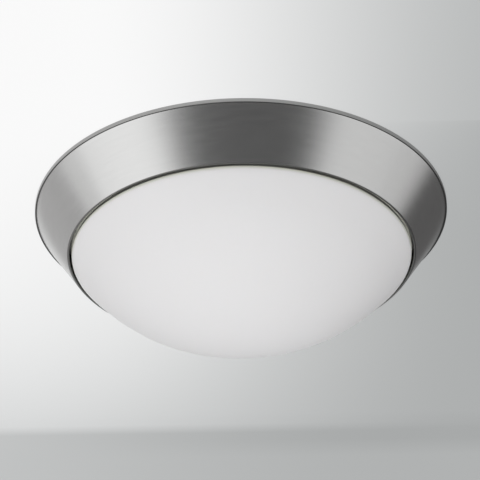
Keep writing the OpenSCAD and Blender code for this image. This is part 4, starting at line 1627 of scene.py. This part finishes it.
@dataclass
class Lamps(SubAssembly):
    """The two lamps: a frosted globe, a threaded cap, and the dark insulator with its soldered eyelet."""

    tip: float = 11.5
    length: float = 108.0
    radius: float = 30.0
    wall: float = 0.9
    neck_r: float = 11.8
    foot_r: float = 8.6
    eyelet_r: float = 4.6
    eyelet_h: float = 1.0
    insulator_l: float = 3.6
    cap_l: float = 24.0
    cap_r: float = 13.1
    cap_depth: float = 0.75
    pitch: float = 3.63
    swell: float = -28.0
    ease: float = 15.0

    def globe(self, place: Place) -> Patch:
        """Makes the glass.

        Its outer face is a straight neck, a cubic curve with control points ease away from its ends, and an
        arc of the sphere. Its inner face is the same path moved inwards by the wall.

        Args:
            place: The frame of the lamp, whose Z runs from its tip to its crown.

        Returns:
            The surface.
        """
        middle = np.array([0.0, self.length - self.radius])
        neck = np.array([self.neck_r, self.insulator_l + self.cap_l + 5.0])
        a = math.radians(self.swell)
        swell = middle + self.radius * np.array([math.cos(a), math.sin(a)])
        pull = self.ease * np.array([math.sin(a), -math.cos(a)])
        t = np.linspace(0, 1, 28)[:, None]
        control = (neck, neck + [0, self.ease], swell + pull, swell)
        weights = ((1 - t) ** 3, 3 * (1 - t) ** 2 * t, 3 * (1 - t) * t * t, t**3)
        curve = sum(w * p for w, p in zip(weights, control))
        foot = np.linspace(neck - [0, 10], neck, 8)[:-1]
        outer = np.concatenate([foot, curve[:-1], arc(middle, self.radius, self.swell, 90, 48)])
        inner = offset(outer, self.wall)
        inner[:, 0] = np.maximum(inner[:, 0], 0)
        inner[-1, 0] = outer[-1, 0] = 0
        return lathe(np.concatenate([outer[::-1], inner]), place, 128, closed=False)

    def cap(self, place: Place) -> Patch:
        """Makes the cap: a thin sleeve with a rolled thread and a turned-in foot round the insulator.

        Args:
            place: The frame of the lamp.

        Returns:
            The surface.
        """
        r, low, high = self.cap_r, self.insulator_l, self.insulator_l + self.cap_l
        foot_r, inner_r = self.foot_r, self.neck_r + 0.1
        foot = [[foot_r, low], [9.6, low + 0.1], [11.2, low + 0.6], [12.6, low + 1.3]]
        side = refined(np.array([[r, low + 2.0], [r, high - 0.5]]), 0.3)
        rim = [[r - 0.1, high - 0.15], [r - 0.5, high], [inner_r, high - 0.1]]
        profile = np.concatenate([foot, side, rim, [[inner_r, low + 2.0], [foot_r, low + 1.0]]])
        cut = thread(self.pitch, self.cap_depth, low + 2.2, high - 3.4)

        def outside(angle: Field, radii: Field, heights: Field) -> tuple[Field, Field]:
            """Cuts the thread into the outer face only."""
            shaped = cut(angle, radii, heights)[0]
            return np.where(radii > self.neck_r + 0.2, shaped, radii), heights

        return lathe(profile, place, 128, shape=outside)

    def base(self, place: Place) -> list[Patch]:
        """Makes the insulator, a shallow dark cone, and the solder on its eyelet.

        The solder is a low dome, (r sin t, h (1 - cos^1.3 t)).

        Args:
            place: The frame of the lamp.

        Returns:
            The two surfaces.
        """
        r, h, top = self.eyelet_r, self.eyelet_h, self.insulator_l
        corners = [
            (0, h, 0), (r - 0.2, h, 0), (r + 0.7, h + 0.5, 0.5), (self.foot_r, top - 0.5, 0.8),
            (self.foot_r + 0.4, top, 0.2), (0, top, 0),
        ]
        t = np.linspace(0, math.pi / 2, 14)
        dome = np.stack([r * np.sin(t), h * (1 - np.cos(t) ** 1.3)], -1)
        solder = np.concatenate([dome, [[r, h + 0.3], [0, h + 0.3]]])
        glass = lathe(rounded(corners, steps=4), place, 80, closed=False)
        return [glass, lathe(solder, place, 80, closed=False, finish=1)]

    def build(self) -> None:
        """Makes both lamps."""
        for number, holder in enumerate(HOLDERS, 1):
            place, lamp = holder.at(0, 0, self.tip), f"lamp_{number}"
            globe, cap, base = [self.globe(place)], [self.cap(place)], self.base(place)
            self.surface(f"globe_{number}", globe, [BULB], [f"{lamp}_globe"], lamp, sharp=60)
            self.surface(f"threaded_cap_{number}", cap, [CAP], [f"{lamp}_cap"], lamp, sharp=45)
            self.surface(f"lamp_base_{number}", base, [DARK_GLASS, SOLDER], [f"{lamp}_eyelet"], lamp)


@dataclass
class Wiring(SubAssembly):
    """The leads with their braided sleeves, the connectors, the bushing, and the earth wire and screw."""

    lead_r: float = 1.35
    side_y: float = 10.5
    start: float = 4.0
    loop: float = 9.0
    far_x: float = 60.0
    lead_z: float = -24.05
    spread: float = 2.6
    bend: float = 4.0
    inner_pass: Pair = (17.0, 9.0)
    connector_y: float = 28.0
    connector_z: float = -12.2
    mouth_x: float = 8.0
    grip: float = 9.0
    pair_half: float = 1.6
    connector_r: float = 7.5
    connector_l: float = 22.0
    tip_r: float = 4.6
    bore_r: float = 4.2
    bore_l: float = 13.0
    mouth_h: float = 1.2
    ribs: int = 14
    rib_h: float = 0.3
    wing_out: float = 0.5
    wing_t: float = 0.75
    wing_l: float = 13.4
    bushing_bore: float = 8.0
    bushing_r: float = 10.92
    bushing_lip: float = 1.5
    pan_t: float = 0.9
    earth_r: float = 1.0
    earth_loop: float = 3.0
    bar_screw: Pair = (-12.0, 0.0)
    pan_screw: Pair = (-30.0, 27.0)
    earth_high: float = -2.64
    earth_low: float = -18.96
    earth_screw_r: float = 1.9
    earth_pitch: float = 0.794
    earth_head_r: float = 4.2
    earth_head_h: float = 2.4

    def route(self, holder: Place, side: int, at: Pair, y: float) -> np.ndarray:
        """Gives the path of a lead from a lampholder along the pan, up the bushing and into a connector.

        Args:
            holder: The frame of the lampholder.
            side: 1 for its outer hole and -1 for its inner one.
            at: The lead's place in the bushing.
            y: The line on which it enters the connector.

        Returns:
            The points of the path.
        """
        t = holder.z[0]
        hole = t * (abs(holder.origin[1]) + side * self.side_y)
        lamp_z, back = holder.origin[2], holder.origin[0]
        out = back - t * self.loop
        past = (-t * self.far_x, hole) if side > 0 else (-t * self.inner_pass[0], t * self.inner_pass[1])
        end = math.copysign(self.mouth_x + self.grip, y)
        corners = [
            (back + t * self.start, hole, lamp_z), (out, hole, lamp_z), (out, hole, self.lead_z),
            (*past, self.lead_z), (*at, self.lead_z), (*at, self.connector_z),
            (at[0], y, self.connector_z), (end, y, self.connector_z),
        ]
        return refined(rounded([(*corner, self.bend) for corner in corners], steps=8), 2.0)

    def leads(self) -> None:
        """Makes the four leads: each colour goes to its own connector, on its own side of the bar."""
        for number, holder in enumerate(HOLDERS, 1):
            t = holder.z[0]
            for colour, finish, line, side in (("black", BLACK_BRAID, 1, t), ("white", WHITE_BRAID, -1, -t)):
                y = t * self.pair_half + line * self.connector_y
                path = self.route(holder, int(side), (-t * self.spread, line * self.spread), y)
                name, node = f"{colour}_sleeve_{number}", f"{colour}_lead_{number}"
                self.surface(name, [tube(path, self.lead_r)], [finish], [node], sharp=60)

    def connector(self, way: int) -> Patch:
        """Makes a twist-on connector.

        Its outside narrows from the mouth to the tip. Ribs add a wave of the angle to the radius, and two
        wings stand out where the angle is within half their thickness of the sides.

        Args:
            way: 1 for the connector at +Y, which points to +X, and -1 for the other.

        Returns:
            The surface.
        """
        r, l, b = self.connector_r, self.connector_l, self.bore_r
        mouth = (way * self.mouth_x, way * self.connector_y, self.connector_z)
        outside = rounded([
            (b + 0.3, 0, 0.2), (r - 0.35, 0, 0.35), (r - 0.3, self.mouth_h, 0.3),
            (self.tip_r + 0.1, l - 2.2, 1.2), (self.tip_r - 1.1, l, 0.9), (0, l, 0),
        ], steps=5)
        inside = np.array([[0, self.bore_l], [b - 0.8, self.bore_l], [b, self.bore_l - 1.0], [b, 0.4]])

        def between(heights: Field, start: float, rise: float, end: float, fall: float) -> Field:
            """Gives 1 between two heights, with a rise above the first and a fall below the last."""
            return np.clip((heights - start) / rise, 0, 1) * np.clip((end - heights) / fall, 0, 1)

        def gripped(angle: Field, radii: Field, heights: Field) -> tuple[Field, Field]:
            """Adds the ribs and the wings to the outside."""
            outer = (radii > b + 0.05) & (heights > 0.1)
            along = between(heights, self.mouth_h, 1.2, l - 3.5, 2.0)
            ribbed = radii + self.rib_h * along * (np.abs(np.cos(self.ribs * angle / 2)) ** 0.7 - 1)
            aside = np.abs(np.sin(angle + math.pi / 2)) * radii
            wing = np.clip(1.6 - aside / self.wing_t, 0, 1) * between(heights, 0.8, 0.8, self.wing_l, 1.6)
            return np.where(outer, ribbed + (r + self.wing_out - ribbed) * wing, radii), heights

        profile = np.concatenate([inside, refined(outside, 0.8)])
        return lathe(profile, Place(mouth, (0, 0, -1), (way, 0, 0)), 336, closed=False, shape=gripped)

    def bushing(self) -> Patch:
        """Makes the bushing: a flange under the pan, a waist in the hole and a barb above it.

        Returns:
            The surface.
        """
        low, high = node_box("wire_bushing")
        z, top, out, waist, bore = low[2], high[2], high[0], self.bushing_r, self.bushing_bore
        plate = z + self.bushing_lip
        barb = plate + self.pan_t
        corners = [
            (bore, z, 0.8), (out, z, 0.6), (out, plate, 0.25), (waist, plate, 0.05), (waist, barb, 0.05),
            (11.8, barb, 0.2), (10.3, top, 0.3), (bore, top, 0.3),
        ]
        return lathe(refined(rounded(corners, closed=True), 0.8, closed=True), turns=128)

    def earth(self) -> np.ndarray:
        """Gives the path of the earth wire: a loop on the bar, a drop to the pan and a loop on its screw.

        Returns:
            The points of the path.
        """
        r, a, b = self.earth_loop, np.array(self.bar_screw), np.array(self.pan_screw)
        high, low = self.earth_high, self.earth_low
        left_a, left_b = a[0] - r, b[0] - r
        first, last = arc(a, r, -90, 160, 30), arc(b, r, 175, -70, 30)
        drop = rounded([
            (left_a, a[1] - 1, high, 0), (left_a - 2, a[1] - 9, high, 2),
            (left_a - 14, a[1] - 9, high - 8, 2), (left_b - 5, b[1] - 16, low + 4, 2),
            (left_b, b[1] - 8, low, 2), (left_b, b[1] - 1, low, 0),
        ], steps=8)
        loops = [np.insert(loop, 2, height, axis=1) for loop, height in ((first, high), (last, low))]
        return refined(np.concatenate([loops[0], drop, loops[1]]), 1.2)

    def build(self) -> None:
        """Makes the wiring."""
        self.leads()
        for name, way in (("line", 1), ("neutral", -1)):
            connector = [self.connector(way)]
            self.surface(f"{name}_twist_on", connector, [ORANGE], [f"{name}_connector"], sharp=35)
        self.surface("snap_bushing", [self.bushing()], [NYLON], ["wire_bushing"])
        wire = [tube(self.earth(), self.earth_r, 24)]
        self.surface("bare_earth_wire", wire, [COPPER], ["earth_wire"], sharp=60)
        low, high = node_box("pan_earth_screw")
        head_h, length = self.earth_head_h, high[2] - low[2] - self.earth_head_h
        seat = Place((*self.pan_screw, high[2] - head_h), (0.8, 0.6, 0.0), (0.0, 0.0, -1.0))
        turned = screw(seat, self.earth_screw_r, length, self.earth_head_r, head_h, self.earth_pitch)
        self.surface("pan_earth_fixing", turned, [GREEN], ["pan_earth_screw"], sharp=32)


@dataclass(frozen=True)
class Fade:
    """A fade of the backdrop from its bright left to its darker right, over a stretch in metres: painted
    light fall-off.
    """

    left: float
    right: float
    start: float
    end: float
    cool: float = 0.045

    def paint(self, graph: Graph, across: Socket) -> Socket:
        """Gives the fade's grey, a little cooler where it is darker, by the place from left to right."""
        share = graph.smooth(across, self.start, self.end)
        return graph.blend(share, grey(self.left, self.cool), grey(self.right, self.cool))


@dataclass
class Studio:
    """The camera, the ceiling that the light hangs from, and the light of the room.

    Each line is a pair between whose values one tone goes over into the next. The ceiling's are places in
    metres along an axis of the part, and the room's are parts of the direction of a ray. The room's stops
    are angles in degrees round the axis, with the level there.
    """

    lens: float = 228.8
    distance: float = 3.0
    elevation: float = 31.59
    roll: float = -0.88
    aim: tuple[float, float, float] = (-0.0014, 0.0, -0.0304)
    ceiling_z: float = 0.05
    ceiling_half: float = 7000.0
    wall_y: float = 430.0
    wall_foot_z: float = -6000.0
    cove_r: float = 14.0
    paint_share: float = 0.22
    near: Fade = Fade(0.98, 0.52, -0.144, 0.264)
    far: Fade = Fade(0.74, 0.45, -0.288, 0.264)
    wall: Fade = Fade(0.64, 0.445, -0.432, 0.192)
    wall_foot: Fade = Fade(0.62, 0.495, -0.432, 0.192)
    depth_line: Pair = (-0.16, 0.42)
    depth_bends: Pair = (2.0, 0.1)
    bend_line: Pair = (-0.24, 0.24)
    wall_line: Pair = (-0.006, -0.016)
    wall_foot_line: Pair = (-0.026, -0.046)
    middle_x: float = -0.012
    outside_line: Pair = (0.175, 0.235)
    beyond_half: float = 2.0
    beyond_stops: tuple[Pair, ...] = (
        (-2.0, 0.90), (-1.4, 0.56), (-0.22, 0.54), (0.22, 0.12), (1.0, 0.13), (1.35, 0.62), (2.0, 0.80),
    )
    beyond_cool: float = -0.02
    room_stops: tuple[Pair, ...] = (
        (-180, 0.10), (-140, 0.15), (-124, 0.40), (-108, 0.85), (-98, 1.12), (-60, 1.15), (-50, 1.05),
        (-41, 0.62), (-34, 0.28), (-22, 0.11), (0, 0.082), (28, 0.085), (40, 0.15), (48, 0.45), (57, 0.82),
        (108, 0.84), (124, 0.12), (150, 0.08), (180, 0.10),
    )
    horizon_line: Pair = (-0.22, -0.05)
    horizon_span: Pair = (-0.6, 0.6)
    horizon_levels: Pair = (0.38, 0.12)
    floor_line: Pair = (-0.74, -0.92)
    floor_span: Pair = (-0.5, 0.2)
    floor_levels: Pair = (4.4, 0.2)
    mirrored_floor: float = 0.3
    roof_line: Pair = (0.3, 0.6)
    roof_level: float = 0.85
    backdrop_level: float = 0.93

    def camera(self) -> None:
        """Puts the camera below and in front, looking up at the light, with a little roll."""
        data = bpy.data.cameras.new("camera")
        data.lens = self.lens
        data.sensor_width = 36.0
        data.clip_start, data.clip_end = 0.05, 60.0
        camera = placed("camera", data)
        up = math.radians(self.elevation)
        turn = Matrix.Rotation(math.pi / 2 + up, 4, "X") @ Matrix.Rotation(math.radians(self.roll), 4, "Z")
        ahead = np.array([0.0, math.cos(up), math.sin(up)])
        camera.matrix_world = Matrix.Translation(np.array(self.aim) - self.distance * ahead) @ turn
        bpy.context.scene.camera = camera

    def ceiling(self) -> None:
        """Makes the ceiling and the wall behind the light, as one sheet with a small cove between them.

        Its face looks down and towards the camera. Seen from behind, and for light that only passes, it is
        clear, so that the top of the light can be seen and is lit.
        """
        z, wall, half = self.ceiling_z, self.wall_y, self.ceiling_half
        section = rounded([(-half, z, 0), (wall, z, self.cove_r), (wall, self.wall_foot_z, 0)], steps=10)
        across = np.linspace(-half, half, 15)
        grid = np.zeros((len(across), len(section), 3))
        grid[..., 0] = across[:, None]
        grid[..., 1:] = section
        sheet = placed("ceiling", mesh_of("ceiling", [Patch(grid)], 60))
        if sheet.data.polygons[0].normal.z > 0:
            sheet.data.flip_normals()
        sheet.data.materials.append(self.ceiling_paint())

    def backdrop(self, graph: Graph, x: Socket, y: Socket, z: Socket) -> Socket:
        """Gives the colour of the ceiling and the wall, brighter on the left and darker past their border,
        as painted light fall-off.

        The ceiling goes from near to far by a power of the share of its depth, which bends the fall.

        Args:
            graph: The nodes of the paint.
            x: The place from left to right.
            y: The place from near to far.
            z: The height.

        Returns:
            The colour.
        """
        fades = (self.near, self.far, self.wall, self.wall_foot)
        near, far, wall, foot = (fade.paint(graph, x) for fade in fades)
        power = graph.span(x, *self.bend_line, self.depth_bends)
        ceiling = graph.blend(graph.math("POWER", graph.span(y, *self.depth_line), power), near, far)
        wall = graph.blend(graph.span(z, *self.wall_foot_line), wall, foot)
        return graph.blend(graph.span(z, *self.wall_line), ceiling, wall)

    def ceiling_paint(self) -> bpy.types.Material:
        """Makes the pale paint of the ceiling.

        A small share of it takes the light and the object's shadow, and the rest shows its plain colour.
        Beyond the edges of the picture, the metal shows a darker studio at the right and a paler one at the
        left.

        Returns:
            The material.
        """
        made = bpy.data.materials.new("ceiling_paint")
        graph = Graph.of(made)
        path = graph.add("LightPath").outputs
        x, y, z = graph.axes(graph.place())
        stops = [((at + self.beyond_half) / (2 * self.beyond_half), grey(level, self.beyond_cool))
                 for at, level in self.beyond_stops]
        beyond = graph.ramp(graph.span(x, -self.beyond_half, self.beyond_half), stops)
        aside = graph.math("ABSOLUTE", graph.minus(x, self.middle_x))
        mirrored = graph.times(graph.smooth(aside, *self.outside_line), path["Is Glossy Ray"])
        colour = graph.blend(mirrored, self.backdrop(graph, x, y, z), beyond)
        paint = graph.add("BsdfDiffuse", {"Color": colour, "Roughness": 0.5}).outputs[0]
        plain = graph.add("Emission", {"Color": colour, "Strength": 1.0}).outputs[0]
        both = graph.add("MixShader", {0: self.paint_share, 1: plain, 2: paint}).outputs[0]
        seen = graph.math("MAXIMUM", path["Is Camera Ray"], path["Is Glossy Ray"])
        seen = graph.math("MAXIMUM", seen, path["Is Transmission Ray"])
        front = graph.minus(1.0, graph.add("NewGeometry").outputs["Backfacing"])
        clear = graph.add("BsdfTransparent").outputs[0]
        sheet = graph.add("MixShader", {0: graph.times(seen, front), 1: clear, 2: both}).outputs[0]
        graph.add("OutputMaterial", {"Surface": sheet})
        return made

    def room_light(self) -> None:
        """Lights the part by direction, as soft boxes at both sides of a darker camera side do."""
        world = bpy.data.worlds.new("room")
        bpy.context.scene.world = world
        graph = Graph.of(world)
        path = graph.add("LightPath").outputs
        x, y, z = graph.axes(graph.add("TexCoord").outputs["Generated"])
        azimuth = graph.math("ARCTAN2", x, graph.times(y, -1.0))
        share = graph.plus(graph.math("DIVIDE", azimuth, TURN), 0.5)
        sides = graph.ramp(share, [(angle / 360 + 0.5, grey(level)) for angle, level in self.room_stops])
        horizon = graph.blend(graph.span(x, *self.horizon_span), *map(grey, self.horizon_levels))
        floor = graph.blend(graph.span(y, *self.floor_span), *map(grey, self.floor_levels))
        floor = graph.blend(path["Is Glossy Ray"], floor, grey(self.mirrored_floor))
        room = graph.blend(graph.smooth(z, *self.horizon_line), sides, horizon)
        room = graph.blend(graph.smooth(z, *self.floor_line), room, floor)
        room = graph.blend(graph.smooth(z, *self.roof_line), room, grey(self.roof_level))
        room = graph.blend(path["Is Camera Ray"], room, grey(self.backdrop_level))
        graph.add("OutputWorld", {"Surface": graph.add("Background", {"Color": room}).outputs[0]})

    def build(self) -> None:
        """Makes the camera, the ceiling and the light."""
        self.camera()
        self.ceiling()
        self.room_light()
        bpy.context.scene.view_settings.view_transform = "Standard"


def main() -> None:
    """Builds the studio and the sub-assemblies in order."""
    logging.basicConfig(level=logging.INFO, format="%(message)s")
    Studio().build()
    for assembly in (
        TrimRing, GlassBowl, GlassClips, Pan, Insulation, CeilingBar, Lampholders, Lamps, Wiring,
    ):
        assembly().build()


if __name__ == "__main__":
    main()
